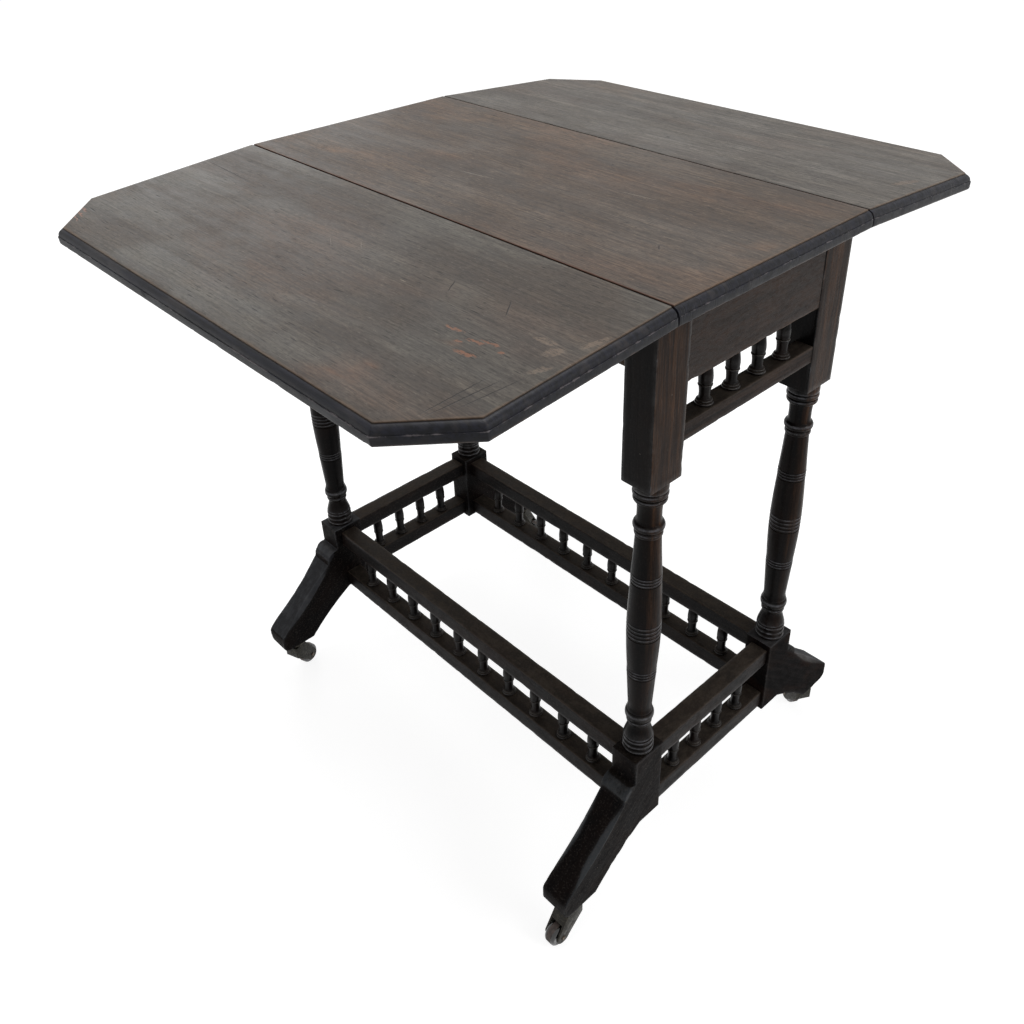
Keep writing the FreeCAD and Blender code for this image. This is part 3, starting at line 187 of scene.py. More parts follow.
def board_finish(name, leaf, shift, dull, brown, red, pale, coarse, marks, pits=()):
    """The worn top face, the black moulded edge and the bare underside of one board."""
    f = Finish(bpy.data.materials.new(name))
    place, x, _ = f.position()
    y, z = x.pick("Y"), x.pick("Z")
    short = half_length - abs(x)
    if leaf:
        out, up = abs(y) - pin_y, z - pin_z
        depth = (pin_drop + board_thickness) - (out * math.sin(droop) + up * math.cos(droop))
        long = leaf_end - (out * math.cos(droop) - up * math.sin(droop))
        edge = f.most(short, long, (short + long - cant) * math.sqrt(0.5), operation="MINIMUM")
        seam = out
    else:
        depth = (pin_z + pin_drop + board_thickness) - z
        edge = short
        seam = middle_half_width - abs(y)

    # Grain: long streaks, a slow figure, fine fibres and short dark pores.
    at = f.grain(shift)
    bent = f.ragged(at, 5.0, 140.0)
    streak = f.ease(f.cloud(bent, (420, 9, 9), 4, 0.62), 0.33, 0.68)
    figure = f.ease(f.cloud(bent, (900, 34, 40), 2, 0.5, 0.6), 0.36, 0.64)
    fibre = f.cloud(bent, (70, 1.3, 2), 3, 0.7)
    pore_field = f.ease(f.cloud(at, (130, 60, 60), 2), 0.38, 0.62)
    pores = f.dashes(bent, 0, 22, 2.4, 0.30, 0.6) * (pore_field * 0.7 + 0.3)
    haze = f.ease(f.cloud(at, (150, 90, 90), 4, 0.6, 0.4), 0.36, 0.66)
    warm = f.ease(f.cloud(at, (230, 110, 90), 3, 0.55, 0.5), 0.44, 0.66)
    mottle = f.ease(f.cloud(at, (26, 12, 12), 5, 0.7), 0.36, 0.66)

    face = f.layer(haze * 0.8, brown, dull)
    face = f.layer(warm * 0.6, face, red)
    face = f.layer(streak * coarse, face, pale)
    face = f.layer((1 - figure) * 0.42, face, tone(52, 46, 42))
    face = f.layer((1 - mottle) * 0.40, face, tone(46, 41, 38))
    face = f.layer(f.ease(fibre, 0.62, 0.36) * (0.45 + coarse * 0.6), face, tone(38, 34, 31))
    face = f.layer(pores * 0.85, face, tone(18, 16, 15))
    nap = f.cloud(at, (6.0, 1.9, 2.2), 5, 0.75)
    face = f.layer(f.ease(nap, 0.50, 0.34) * 0.62, face, tone(34, 30, 27))
    face = f.layer(f.ease(nap, 0.56, 0.70) * 0.34, face, pale)

    # Wear: rubbed arris and seams, scratches that show pale or dark, and single marks.
    rub = f.cloud(at, (30, 14, 14), 5, 0.7)
    rubbed = f.ease(edge + (rub - 0.5) * 7, arris_inset + 2.6, arris_inset - 0.2)
    face = f.layer(rubbed * 0.4, face, tone(104, 84, 66))
    seam_rub = f.ease(seam + (rub - 0.5) * 3.4, 1.5, 0.3)
    face = f.layer(seam_rub * 0.7, face, tone(78, 50, 38))
    light = f.most(f.dashes(bent, 63, 90, 15, 0.055, 0.16, 3.0), f.dashes(bent, -38, 60, 12, 0.05, 0.14, 11.0),
                   f.dashes(bent, 8, 120, 10, 0.05, 0.12, 23.0))
    dark = f.most(f.dashes(bent, 34, 74, 16, 0.07, 0.22, 41.0), f.dashes(bent, -72, 60, 15, 0.06, 0.22, 57.0),
                  f.dashes(bent, 3, 150, 16, 0.08, 0.26, 71.0))
    face = f.layer(light * 0.42, face, tone(150, 140, 128))
    face = f.layer(dark * 0.8, face, tone(24, 20, 18))
    specks = f.dashes(at, 20, 19, 14, 0.10, 0.07, 90.0)
    face = f.layer(specks * 0.7, face, tone(28, 24, 22))
    uneven, flaky, broad = f.ragged(place, 0.7, 5.0), f.ragged(place, 3.0, 4.0), f.ragged(place, 22.0, 30.0)
    sunk = dark + pores * 0.6
    for start, end, width, colour, amount, sink in marks:
        if width > cloudy_width:
            where = f.stroke(broad, start, end, width, 0.1) * (0.25 + 0.75 * streak) * (0.4 + 0.6 * mottle)
        elif width > flaky_width:
            where = f.stroke(flaky, start, end, width) * f.ease(nap, 0.36, 0.50)
        else:
            where = f.stroke(uneven, start, end, width)
        face = f.layer(where * amount, face, colour)
        if sink:
            sunk = sunk + where * sink

    # Moulded edge: nearly black, with a painted cool sheen in bluish streaks and a painted pale highlight line along
    # the step under the quarter round, and rubbed to brown along the nose.
    edge_grain_and_sheen = f.ease(f.cloud(at, (60, 3, 3), 5, 0.7), 0.36, 0.66)
    # Painted sheen: the bluish streaks stand for reflected light.
    side = f.layer(edge_grain_and_sheen * 0.65, tone(10, 10, 14), tone(35, 36, 46))
    side = f.layer(f.ease(f.cloud(at, (40, 12, 12), 4, 0.6), 0.52, 0.68) * 0.4, side, tone(58, 54, 54))
    step = f.ease(abs(depth - 7.4) + (rub - 0.40) * 6.0, 0.75, 0.1)
    nose = f.ease(abs(depth - 14.6) + (rub - 0.44) * 9.0, 1.5, 0.2)
    # Painted highlight: a pale line along the step.
    side = f.layer(step * 0.6, side, tone(104, 98, 100))
    side = f.layer(nose * 0.5, side, tone(92, 70, 54))
    side = f.layer(f.ease(depth, 8.0, 12.0) * 0.45, side, tone(13, 12, 14))
    for start, end, width, colour, amount in pits:
        where = f.stroke(flaky, start, end, width) * f.ease(depth, 5.0, 7.5)
        side = f.layer(where * amount, side, colour)
    on_side = f.ease(depth, 0.75, 1.5) * f.ease(edge, arris_inset + 0.9, arris_inset + 0.3)
    butt = f.ease(depth, 0.5, 1.4) * (1 - on_side)
    face = f.layer(butt * 0.85, face, tone(44, 34, 29))
    colour = f.layer(on_side, face, side)

    # Underside: planed and never polished.
    under = f.ease(depth, board_thickness - 0.5, board_thickness - 0.1)
    bare = f.layer(streak, tone(62, 50, 40), tone(86, 70, 55))
    bare = f.layer(f.ease(fibre, 0.6, 0.4) * 0.4, bare, tone(42, 33, 27))
    bare = f.layer(haze * 0.4, bare, tone(50, 42, 36))
    colour = f.layer(under, colour, bare)

    sheen = 0.47 + (1 - haze) * 0.05 + mottle * 0.06 + light * 0.15 + streak * 0.05
    roughness = sheen + under * 0.3 - on_side * 0.06
    height = fibre * 0.30 + streak * 0.35 + figure * 0.6 + mottle * 0.25 - sunk * 1.2 - light * 0.35
    return f.surface(colour, roughness, height, 0.16 + 0.14 * coarse, gloss=0.2)


def inset_corner(before, corner, after, inset_in, inset_out):
    """Where a corner of an outline comes to when the side before it and the side after it move in."""
    a, b = (corner - before).normalized(), (after - corner).normalized()
    inward, inward_next = Vector((-a.y, a.x)), Vector((-b.y, b.x))
    along = (inset_out - inset_in * inward.dot(inward_next)) / a.dot(inward_next)
    return corner + inward * inset_in + a * along


def board_rings(corners, moulded, place):
    """Rings of points from the face of a board down its edge and in under it, with their wear."""
    profile = [(11.0, 5.0, 0.0, 0.0), (6.9, 0.9, 0.0, 0.1), (6.3, 0.25, 0.13, 0.35), (arris_inset, 0.0, 0.5, 0.2),
               (arris_inset, 0.0, 1.2, 0.0), (5.85, 0.0, quirk_depth, 0.0), (5.2, 0.0, quirk_depth, 0.0)]
    for number in range(1, 9):
        t = number / 8
        bulge = 1.25 * 4 * t * (1 - t)
        profile.append((5.2 - 4.4 * t - 0.797 * bulge, 0.0, quirk_depth + 5.8 * t - 0.604 * bulge, 0.25))
    profile += [(0.3, 0.0, 7.2, 0.5), (0.05, 0.0, 7.35, 0.9), (0.0, 0.0, 7.8, 0.7), (0.0, 0.0, 10.5, 0.2),
                (0.0, 0.0, board_thickness - nose_radius, 0.4)]
    for number in range(1, 5):
        turn = math.radians(22.5 * number)
        profile.append((nose_radius - nose_radius * math.cos(turn), 0.5 if number > 3 else 0.0,
                        board_thickness - nose_radius + nose_radius * math.sin(turn), 1.0))
    profile.append((9.0, 5.0, board_thickness, 0.0))
    corners = [Vector(corner) for corner in corners]
    count = len(corners)
    steps = [max(2, round((corners[(i + 1) % count] - corners[i]).length / 4)) for i in range(count)]
    rings = []
    for edge_inset, butt_inset, depth, wear in profile:
        insets = [edge_inset if side else butt_inset for side in moulded]
        turned = [inset_corner(corners[i - 1], corners[i], corners[(i + 1) % count], insets[i - 1], insets[i])
                  for i in range(count)]
        ring = []
        for i in range(count):
            here, there = turned[i], turned[(i + 1) % count]
            way = (there - here).normalized()
            back = (turned[i - 1] - here).normalized()
            inward = Vector((-way.y, way.x))
            ring.append(here * 0.5 + (here + way * 0.8 + here + back * 0.8) * 0.25)
            run = (there - here).length - 1.6
            for number in range(steps[i] + 1):
                point = here + way * (0.8 + run * number / steps[i])
                bruise = max(0.0, noise.noise(Vector((point.x, point.y, depth * 2 + 50)) / 9) - 0.22)
                drift = 0.5 + 0.5 * noise.noise(Vector((point.x, point.y, depth)) / 60)
                ring.append(point + inward * (wear * bruise * 1.5 + 0.10 * drift))
        rings.append([place(point.x, point.y, depth) for point in ring])
    return rings


def skin(rings, capped=True):
    """A closed shell over rings of equal count: capped, or with its last ring joined to its first."""
    count = len(rings[0])
    points = [point for ring in rings for point in ring]
    faces = []
    for level in range(len(rings) - 1 if capped else len(rings)):
        for k in range(count):
            n = (k + 1) % count
            low, high = level * count, (level + 1) % len(rings) * count
            faces.append((low + k, high + k, high + n, low + n))
    if capped:
        faces.append(tuple(range(count)))
        faces.append(tuple(range(len(points) - count, len(points))))
    return points, faces


def carry(mesh, name, key, values):
    """Gives every point of a mesh a number or a direction of its own."""
    held = mesh.attributes.new(name, {"value": "FLOAT", "vector": "FLOAT_VECTOR"}[key], "POINT")
    for item, value in zip(held.data, values):
        setattr(item, key, value)


def make_piece(name, shells, finish, along=(1, 0, 0), up=(0, 0, 1), sharp=30):
    """A piece from its shells in mm.  Each point may carry a fourth number for its wear, which on the legs, spindles
    and feet also places painted highlights.
    """
    points, faces, wear = [], [], []
    for shell_points, shell_faces in shells:
        first = len(points)
        points += [(p[0] * MM, p[1] * MM, p[2] * MM) for p in shell_points]
        wear += [p[3] if len(p) > 3 else 0.0 for p in shell_points]
        faces += [tuple(first + index for index in face) for face in shell_faces]
    mesh = bpy.data.meshes.new(name)
    mesh.from_pydata(points, [], faces)
    own_shift = random.Random(name).uniform(0, 900)
    along, up = Vector(along).normalized(), Vector(up).normalized()
    across = up.cross(along)
    spots = [vertex.co / MM for vertex in mesh.vertices]
    carry(mesh, "grain", "vector", [(at.dot(along) + own_shift, at.dot(across) + own_shift * 0.4,
                                     at.dot(up) + own_shift * 0.7) for at in spots])
    carry(mesh, "worn", "value", wear)
    shape = bmesh.new()
    shape.from_mesh(mesh)
    bmesh.ops.recalc_face_normals(shape, faces=shape.faces)
    shape.to_mesh(mesh)
    shape.free()
    mesh.shade_smooth()
    mesh.set_sharp_from_angle(angle=math.radians(sharp))
    mesh.materials.append(finish)
    piece = bpy.data.objects.new(name, mesh)
    bpy.context.scene.collection.objects.link(piece)
    return piece


def fit(piece, body, node):
    """Joins a finished piece to its moving part and lets it stand for the plain solid."""
    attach(piece, body)
    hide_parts(node)


# Single marks, each one from a place to a place on the top in mm, then its width, its colour, how
# plainly it shows and how deep it goes.  The pits in the moulded edge have no depth of their own.
chip = tone(118, 80, 60)
rosy = tone(130, 96, 82)
scrape = tone(134, 116, 100)
gouge = tone(22, 18, 17)
pale_scratch = tone(168, 160, 148)
front_marks = [
    ((140, -346), (208, -316), 30.0, tone(122, 88, 68), 0.4, 0),
    ((182, -266), (222, -264), 18.0, tone(112, 84, 66), 0.35, 0),
    ((176, -250), (198, -247.5), 4.2, chip, 0.75, 0.4), ((200, -253), (221, -250), 4.4, chip, 0.75, 0.4),
    ((211, -247), (233, -245), 3.6, chip, 0.7, 0.4), ((206, -268), (230, -264.5), 5.2, chip, 0.8, 0.5),
    ((233, -251), (241, -249), 3.4, chip, 0.7, 0.3), ((198, -259), (206, -258), 3.2, chip, 0.7, 0.3),
    ((-288, -185), (-182, -190), 1.3, gouge, 0.95, 1.5), ((251, -340), (253, -268), 1.3, gouge, 0.85, 0.9),
    ((255, -337), (263, -262), 1.4, gouge, 0.85, 0.9), ((263, -324), (273, -250), 1.2, gouge, 0.8, 0.8),
    ((141, -217), (130, -199), 1.4, gouge, 0.9, 1.0), ((204, -217), (187, -194), 1.3, gouge, 0.85, 0.9),
    ((66, -269), (80, -266), 1.3, gouge, 0.8, 0.8), ((36, -222), (50, -219), 1.2, gouge, 0.8, 0.8),
    ((-16, -214), (2, -226), 0.8, pale_scratch, 0.18, 0.4), ((12, -203), (26, -212), 0.8, pale_scratch, 0.18, 0.4),
    ((258, -236), (268, -218), 12.0, scrape, 0.3, 0.5), ((268, -258), (276, -240), 8.0, scrape, 0.3, 0.4),
    ((274, -216), (280, -186), 8.0, scrape, 0.3, 0.4), ((236, -222), (262, -219), 7.0, scrape, 0.28, 0.4),
    ((-269, -322), (-252, -326), 2.4, rosy, 0.9, 0.6), ((-263, -329), (-244, -333), 2.4, rosy, 0.9, 0.6),
    ((-256, -336), (-237, -340), 2.2, rosy, 0.85, 0.5), ((-120, -300), (-40, -292), 22.0, tone(78, 74, 68), 0.4, 0)]
front_pits = [((230, -352), (240, -346), 6.0, tone(150, 88, 54), 0.8),
              ((282, -300), (288, -292), 6.0, tone(120, 74, 50), 0.7)]
middle_marks = [
    ((96, 20), (140, 26), 1.0, pale_scratch, 0.35, 0.3), ((-60, -40), (-10, -33), 0.9, pale_scratch, 0.3, 0.3),
    ((-250, -92), (-120, -60), 30.0, tone(128, 98, 76), 0.35, 0),
    ((-250, 60), (-150, 96), 34.0, tone(132, 108, 88), 0.35, 0),
    ((120, -70), (255, -58), 34.0, tone(78, 64, 54), 0.4, 0),
    ((232, -46), (284, 30), 40.0, tone(132, 100, 76), 0.42, 0),
    ((-70, 30), (60, 52), 40.0, tone(78, 66, 58), 0.42, 0), ((40, 74), (46, 70), 2.0, gouge, 0.8, 1.2),
    ((150, -35), (158, -31), 2.6, gouge, 0.85, 0.9), ((205, -52), (212, -60), 1.8, gouge, 0.8, 0.8)]
back_marks = [
    ((12, 190), (20, 186), 5.0, gouge, 0.75, 0.8), ((-80, 170), (-10, 173), 1.2, gouge, 0.6, 0.7),
    ((150, 150), (250, 155), 14.0, tone(84, 74, 66), 0.45, 0),
    ((258, 210), (268, 250), 12.0, tone(108, 92, 78), 0.4, 0.3),
    ((-60, 250), (160, 262), 40.0, tone(92, 86, 80), 0.4, 0)]

front_finish = board_finish("front_leaf_finish", True, 120.0, tone(94, 92, 86), tone(76, 67, 59),
                            tone(92, 70, 57), tone(118, 111, 101), 0.18, front_marks, front_pits)
middle_finish = board_finish("middle_board_finish", False, 460.0, tone(94, 86, 79), tone(80, 67, 57),
                             tone(104, 79, 62), tone(130, 114, 99), 0.28, middle_marks)
back_finish = board_finish("back_leaf_finish", True, 820.0, tone(104, 101, 96), tone(82, 77, 71),
                           tone(94, 79, 68), tone(136, 129, 120), 0.42, back_marks)


def lay_flat(x, y, depth):
    """The middle board lies level."""
    return (x, y, pin_z + pin_drop + board_thickness - depth)


def hang_back(x, out, depth):
    """The back leaf droops from its pins, where it rests on its stays."""
    up = pin_drop + board_thickness - depth
    return (x, pin_y + out * math.cos(droop) + up * math.sin(droop),
            pin_z - out * math.sin(droop) + up * math.cos(droop))


def hang_front(x, out, depth):
    """The front leaf is the back one turned half round."""
    x, y, z = hang_back(-x, out, depth)
    return (x, -y, z)


middle_corners = [(-half_length, -middle_half_width), (half_length, -middle_half_width),
                  (half_length, middle_half_width), (-half_length, middle_half_width)]
leaf_corners = [(-half_length, leaf_start), (half_length, leaf_start), (half_length, leaf_end - cant),
                (half_length - cant, leaf_end), (cant - half_length, leaf_end), (-half_length, leaf_end - cant)]
for name, node, body, corners, moulded, place, finish in (
        ("middle_board", "top_board", "frame", middle_corners, [False, True] * 2, lay_flat, middle_finish),
        ("back_leaf_board", "leaf_back", "back_leaf", leaf_corners, [False] + [True] * 5, hang_back, back_finish),
        ("front_leaf_board", "leaf_front", "front_leaf", leaf_corners, [False] + [True] * 5, hang_front, front_finish)):
    fit(make_piece(name, [skin(board_rings(corners, moulded, place))], finish), body, node)

# ---------------------------------------------------------------- legs
# Four turned legs of a close reddish hardwood, ebonised and polished.  Each keeps a square block
# at its head for the joints; below it come collars, a neck and a double ring, then a shaft that
# swells to the middle with three bands of cut rings, and a cone over three rings at the foot.
tenon, tucked = 7.0, 0.3
leg_places = {"front_left": (-1, -1), "front_right": (1, -1), "back_left": (-1, 1), "back_right": (1, 1)}
leg_x, leg_y = 256.5, 110.7
block_x, block_y = 16.0, 20.0
foot_top, leg_top, underside = 201.0, 523.0, 678.0
leaf_relief, relief_depth, rubbed_band = 128.2, 1.6, 4.5
# Noise in three directions starts from the clock unless it is given a seed.
noise.seed_set(77)


def stained_finish(name, shift, rubbed, ground=(10, 9, 10), outer=0.0, dust=0.12, red=0.45, gloss=0.03, wear_and_highlight_amount=0.5,
                   rough=0.26, polish=0.8, painted_sheen=0.0, pepper=0.2):
    """Black stain and polish: it thins to brown in streaks and on the outer faces, there partly as painted light from
    the right, and at the edges to a tone that is also a painted highlight; upward faces may carry a painted sheen.
    """
    f = Finish(bpy.data.materials.new(name))
    _, x, facing = f.position()
    facing = f.add("ShaderNodeSeparateXYZ", {}, [facing], "X")
    at = f.grain(shift)
    bent = f.ragged(at, 2.2, 60.0)
    worn = f.attribute("worn")
    streak = f.ease(f.cloud(bent, (110, 4.5, 4.5), 4, 0.65), 0.38, 0.66)
    fibre = f.cloud(bent, (26, 0.9, 0.9), 3, 0.7)
    patch = f.ease(f.cloud(at, (74, 30, 30), 4, 0.6, 0.4), 0.42, 0.66)
    grime = f.ease(f.cloud(at, (13, 9, 9), 5, 0.7), 0.40, 0.66)

    face = f.layer(streak * 0.55, tone(*ground), tone(25, 21, 20))
    face = f.layer(patch * red, face, tone(38, 26, 21))
    # Faces that look away from the middle turn brown, less towards the floor: partly wear and partly painted light from
    # the right.
    if outer:
        outward_worn_and_lit = f.ease(facing * x / 260, 0.55, 0.9) * f.ease(x.pick("Z"), 90, 640)
        brown = f.layer(streak, tone(52, 35, 25), tone(90, 62, 42))
        brown = f.layer((1 - patch) * 0.35, brown, tone(44, 33, 28))
        face = f.layer(outward_worn_and_lit * outer * (0.55 + 0.45 * streak), face, brown)
    face = f.layer(f.ease(fibre, 0.58, 0.40) * 0.45, face, tone(11, 9, 9))
    rub = f.cloud(at, (16, 7, 7), 5, 0.7)
    edge = f.ease(worn + (rub - 0.5) * 1.5, 0.42, 1.0)
    # At the edges: wear, and on the legs, spindles and feet a pale tone that is a painted highlight.
    face = f.layer(edge * wear_and_highlight_amount, face, tone(*rubbed))
    speck = f.ease(f.cloud(at, (1.9, 1.9, 1.9), 3, 0.6), 0.52, 0.68)
    face = f.layer(speck * pepper, face, tone(84, 78, 74))
    # Painted sheen: upward faces lighter and cool grey, as where they reflect the lamps.
    if painted_sheen:
        face = f.layer(f.ease(facing.pick("Z"), 0.45, 0.66) * painted_sheen * (0.6 + 0.4 * grime), face, tone(82, 83, 86))
    scuff = f.most(f.dashes(bent, 52, 46, 9, 0.055, 0.16, 7.0), f.dashes(bent, -64, 38, 8, 0.05, 0.14, 31.0))
    face = f.layer(scuff * 0.35, face, tone(112, 98, 86))
    above = f.ease(facing.pick("Z"), 0.72, 0.97)
    settled = above * dust * (0.45 + 0.55 * grime)
    face = f.layer(settled, face, tone(88, 79, 70))
    flecks = f.dashes(at, 15, 9, 9, 0.10, 0.05, 60.0)
    face = f.layer(flecks * 0.5, face, tone(120, 112, 104))
    roughness = rough + grime * 0.10 + settled * 0.45 + edge * 0.12 + (1 - streak) * 0.05
    height = fibre * 0.5 + streak * 0.4 + grime * 0.35 - scuff * 0.6
    return f.surface(face, roughness, height, 0.12, gloss=gloss, coat=worn * polish * (0.35 + 0.65 * grime))


def bead(inner, low, high, outer, wear=0.75):
    """A turned ring: its half-round profile from groove to groove, with a wear value that draws a painted highlight
    line, strongest just above its crest.
    """
    half, rise = (high - low) / 2, outer - inner
    bow = (half * half + rise * rise) / (2 * rise)
    reach = 2 * math.atan2(rise, half)
    turns = [reach * (number / 4 - 1) for number in range(9)]
    return [(outer - bow + bow * math.cos(turn), (low + high) / 2 + bow * math.sin(turn),
             wear * max(0.0, 1 - abs(turn / reach - 0.35) * 2.2)) for turn in turns]


def lathe(profile, centre, sides=64, uneven=0.07):
    """A turned shell: each point of the profile is a radius, a height and its wear, which also places painted highlight
    lines.
    """
    x, y = centre
    rings = []
    for radius, height, wear in profile:
        ring = []
        for k in range(sides):
            turn = 2 * math.pi * k / sides
            drift = uneven * noise.noise(Vector((math.cos(turn) * 2, math.sin(turn) * 2, height / 30 + x)))
            reach = max(radius + drift, 0.02)
            ring.append((x + reach * math.cos(turn), y + reach * math.sin(turn), height, wear))
        rings.append(ring)
    return skin(rings)


def bar(low, high, axis, arris=1.0, ends=0.8, step=6.0, bruised=1.2, shape=None):
    """A planed bar between two corners, its long edges softened, rubbed and a little bruised."""
    a, b = (axis + 1) % 3, (axis + 2) % 3
    width, height, length = high[a] - low[a], high[b] - low[b], high[axis] - low[axis]
    middle_a, middle_b = (high[a] + low[a]) / 2, (high[b] + low[b]) / 2
    count = max(2, round(length / step))
    stations = [(0.0, ends), (ends * 0.35, ends * 0.3), (ends, 0.0)] if ends else [(0.0, 0.0)]
    inner = [(ends + (length - 2 * ends) * n / count, 0.0) for n in range(1, count)]
    stations += inner + [(length - along, inset) for along, inset in reversed(stations)]
    if ends:
        stations = [(0.0, ends + 2.5)] + stations + [(length, ends + 2.5)]
    rings = []
    for along, inset in stations:
        ring = []
        for side in range(4):
            half_a, half_b = (width / 2, height / 2) if side % 2 == 0 else (height / 2, width / 2)
            half_a, half_b = half_a - inset, half_b - inset
            flat_a, flat_b = [max(half - rubbed_band, half * 0.3) for half in (half_a, half_b)]
            local = [(half_a, flat_b, 0.0), (half_a, half_b - arris, 0.7),
                     (half_a - arris * 0.3, half_b - arris * 0.3, 1.0),
                     (half_a - arris, half_b, 0.7), (flat_a, half_b, 0.0)]
            for u, v, wear in local:
                for _ in range(side):
                    u, v = -v, u
                spot = Vector((0, 0, 0))
                spot[axis], spot[a], spot[b] = low[axis] + along, middle_a + u, middle_b + v
                drift = noise.noise_vector(spot / 45) * 0.13
                dent = wear * bruised * max(0.0, noise.noise(spot / 8) - 0.18)
                pull = Vector((0, 0, 0))
                pull[a], pull[b] = -u, -v
                spot += pull.normalized() * (dent + 0.1)
                drift[axis] = 0.0
                point = spot + drift
                ring.append((point.x, point.y, point.z, wear if ends == 0 or 0 < along < length else 0.5))
        rings.append([shape(*point) for point in ring] if shape else ring)
    return skin(rings)


def swell(low, high, low_radius, high_radius, fullness):
    """A length of shaft between two radii, a little fuller than a straight taper."""
    return [(low_radius + (high_radius - low_radius) * t + fullness * 4 * t * (1 - t), low + (high - low) * t, 0.0)
            for t in [number / 7 for number in range(8)]]


def fine_rings(radius, middle, half, count):
    """A band of rings cut into the shaft, their crests level with it."""
    band = []
    step = 2 * half / count
    for number in range(count):
        low = middle - half + step * number
        band += bead(radius - 0.85, low + 0.05, low + step - 0.05, radius + 0.1, 0.95)
    return band


leg_profile = [(13.8, 200.6, 0.0)]
for number in range(3):
    leg_profile += bead(14.04, 201 + 6.4 * number, 206.9 + 6.4 * number, 15.6 - 0.25 * number, 0.9)
leg_profile += [(14.3, 220.1, 0.1), (14.6, 220.7, 0.7), (13.9, 223.2, 0.2), (13.0, 226.2, 0.1), (12.0, 229.5, 0.0),
                (11.1, 232.6, 0.0), (10.7, 234.6, 0.0), (10.7, 236.6, 0.0)]
leg_profile += bead(11.2, 237.2, 243.2, 12.4, 0.85) + bead(12.2, 243.7, 254.7, 14.1, 0.95)
leg_profile += [(12.5, 255.3, 0.0), (12.2, 256.8, 0.0), (11.7, 259.0, 0.0)]
leg_profile += swell(261.5, 301.2, 11.6, 13.75, 0.05) + fine_rings(13.9, 306.7, 5, 3)
leg_profile += swell(312.2, 351.3, 14.0, 15.8, 0.25) + fine_rings(15.85, 360.8, 9, 4)
leg_profile += swell(370.3, 414.2, 15.8, 13.9, 0.2) + fine_rings(13.9, 419.7, 5, 3)
leg_profile += swell(425.2, 465.6, 13.7, 11.5, -0.1)
leg_profile += bead(11.4, 466.4, 472.4, 12.7, 0.85) + bead(11.8, 472.9, 480.9, 14.1, 0.95)
leg_profile += [(11.3, 481.7, 0.0), (10.9, 484.0, 0.0), (10.8, 492.0, 0.0), (11.1, 498.0, 0.0), (11.9, 502.4, 0.0)]
leg_profile += bead(13.5, 502.9, 507.9, 14.95, 0.9) + bead(14.1, 508.4, 514.4, 15.6, 0.9)
leg_profile += [(14.7, 514.8, 0.0), (15.2, 515.2, 0.7), (15.45, 516.4, 0.5), (15.45, 519.0, 0.1), (15.3, 521.4, 0.5),
                (14.8, 522.4, 0.3), (14.6, 525.0, 0.0)]


def under_leaf(x, y, z, wear):
    """The head of a leg is cut back where the leaf swings over it, and its arris wear, which also draws pale painted
    highlight lines, is halved.
    """
    if z > underside - relief_depth:
        y = math.copysign(min(abs(y), leaf_relief), y)
    return (x, y, z, wear * 0.5)


# The legs' pale cool grey on crests and arrises is a painted highlight; the brown on their outer faces is partly wear
# and partly painted light.
leg_finish = stained_finish("leg_finish", 40.0, (108, 108, 114), (5, 5, 6), outer=0.95, dust=0.35, red=0.42,
                            gloss=0.05, wear_and_highlight_amount=0.75, pepper=0.07)
for corner, (sx, sy) in leg_places.items():
    x, y = sx * leg_x, sy * leg_y
    head = bar((x - block_x, y - block_y, leg_top), (x + block_x, y + block_y, underside), 2, arris=1.1, ends=0.9,
               shape=under_leaf)
    leg = make_piece("turned_leg_" + corner, [lathe(leg_profile, (x, y)), head], leg_finish,
                     along=(0, 0, 1), up=(1, 0, 0), sharp=38)
    fit(leg, "frame", "leg_" + corner)

# ---------------------------------------------------------------- feet
# Each foot is sawn from one thick plank: a square block that takes the leg and the gallery rails,
# then a ledge with a half-round nose and a long slope down to a blunt toe.  The slope's edges carry
# a chamfer that starts under the nose and runs out to a point above the toe.
toe, toe_low, bead_top = 229.7, 55.0, 171.0
slope_y, slope_z, slope_end, toe_top = 147.5, 153.5, 225.7, 81.0


def arc(start, end, radius, hollow=False):
    """Points on the way from one corner of an outline to the next along a bow."""
    start, end = Vector(start), Vector(end)
    run = end - start
    side = Vector((-run.y, run.x)).normalized()
    if not hollow:
        side = -side
    rise = radius - math.sqrt(max(radius * radius - run.length_squared / 4, 0.0))
    centre = (start + end) / 2 - side * (radius - rise)
    first, last = start - centre, end - centre
    angle = first.angle_signed(last)
    steps = max(3, round(abs(angle) * radius / 3))
    return [centre + Matrix.Rotation(-angle * n / steps, 2) @ first for n in range(1, steps)]


instep, heel, sole_end = (120.7, 104), (185.2, toe_low), (221.7, toe_low)
nose_low, nose_high = (146.5, 157.5), (135.0, bead_top)
foot_corners = [(90.7, 104), instep, *arc(instep, heel, 300, True), heel, sole_end, *arc(sole_end, (toe, 63), 8),
                (toe, 63), (toe, 75), *arc((toe, 75), (slope_end, toe_top), 8), (slope_end, toe_top),
                (slope_y, slope_z), (146.8, 155.4), nose_low, *arc(nose_low, nose_high, 14.5), nose_high,
                (131.5, bead_top + 0.1), (130.7, bead_top + 0.9), (130.7, foot_top), (90.7, foot_top)]
foot_corners = [Vector(corner) for corner in foot_corners]
foot_outline = []
for number, corner in enumerate(foot_corners):
    follow = foot_corners[(number + 1) % len(foot_corners)]
    parts = max(1, round((follow - corner).length / 5))
    foot_outline += [corner.lerp(follow, n / parts) for n in range(parts)]


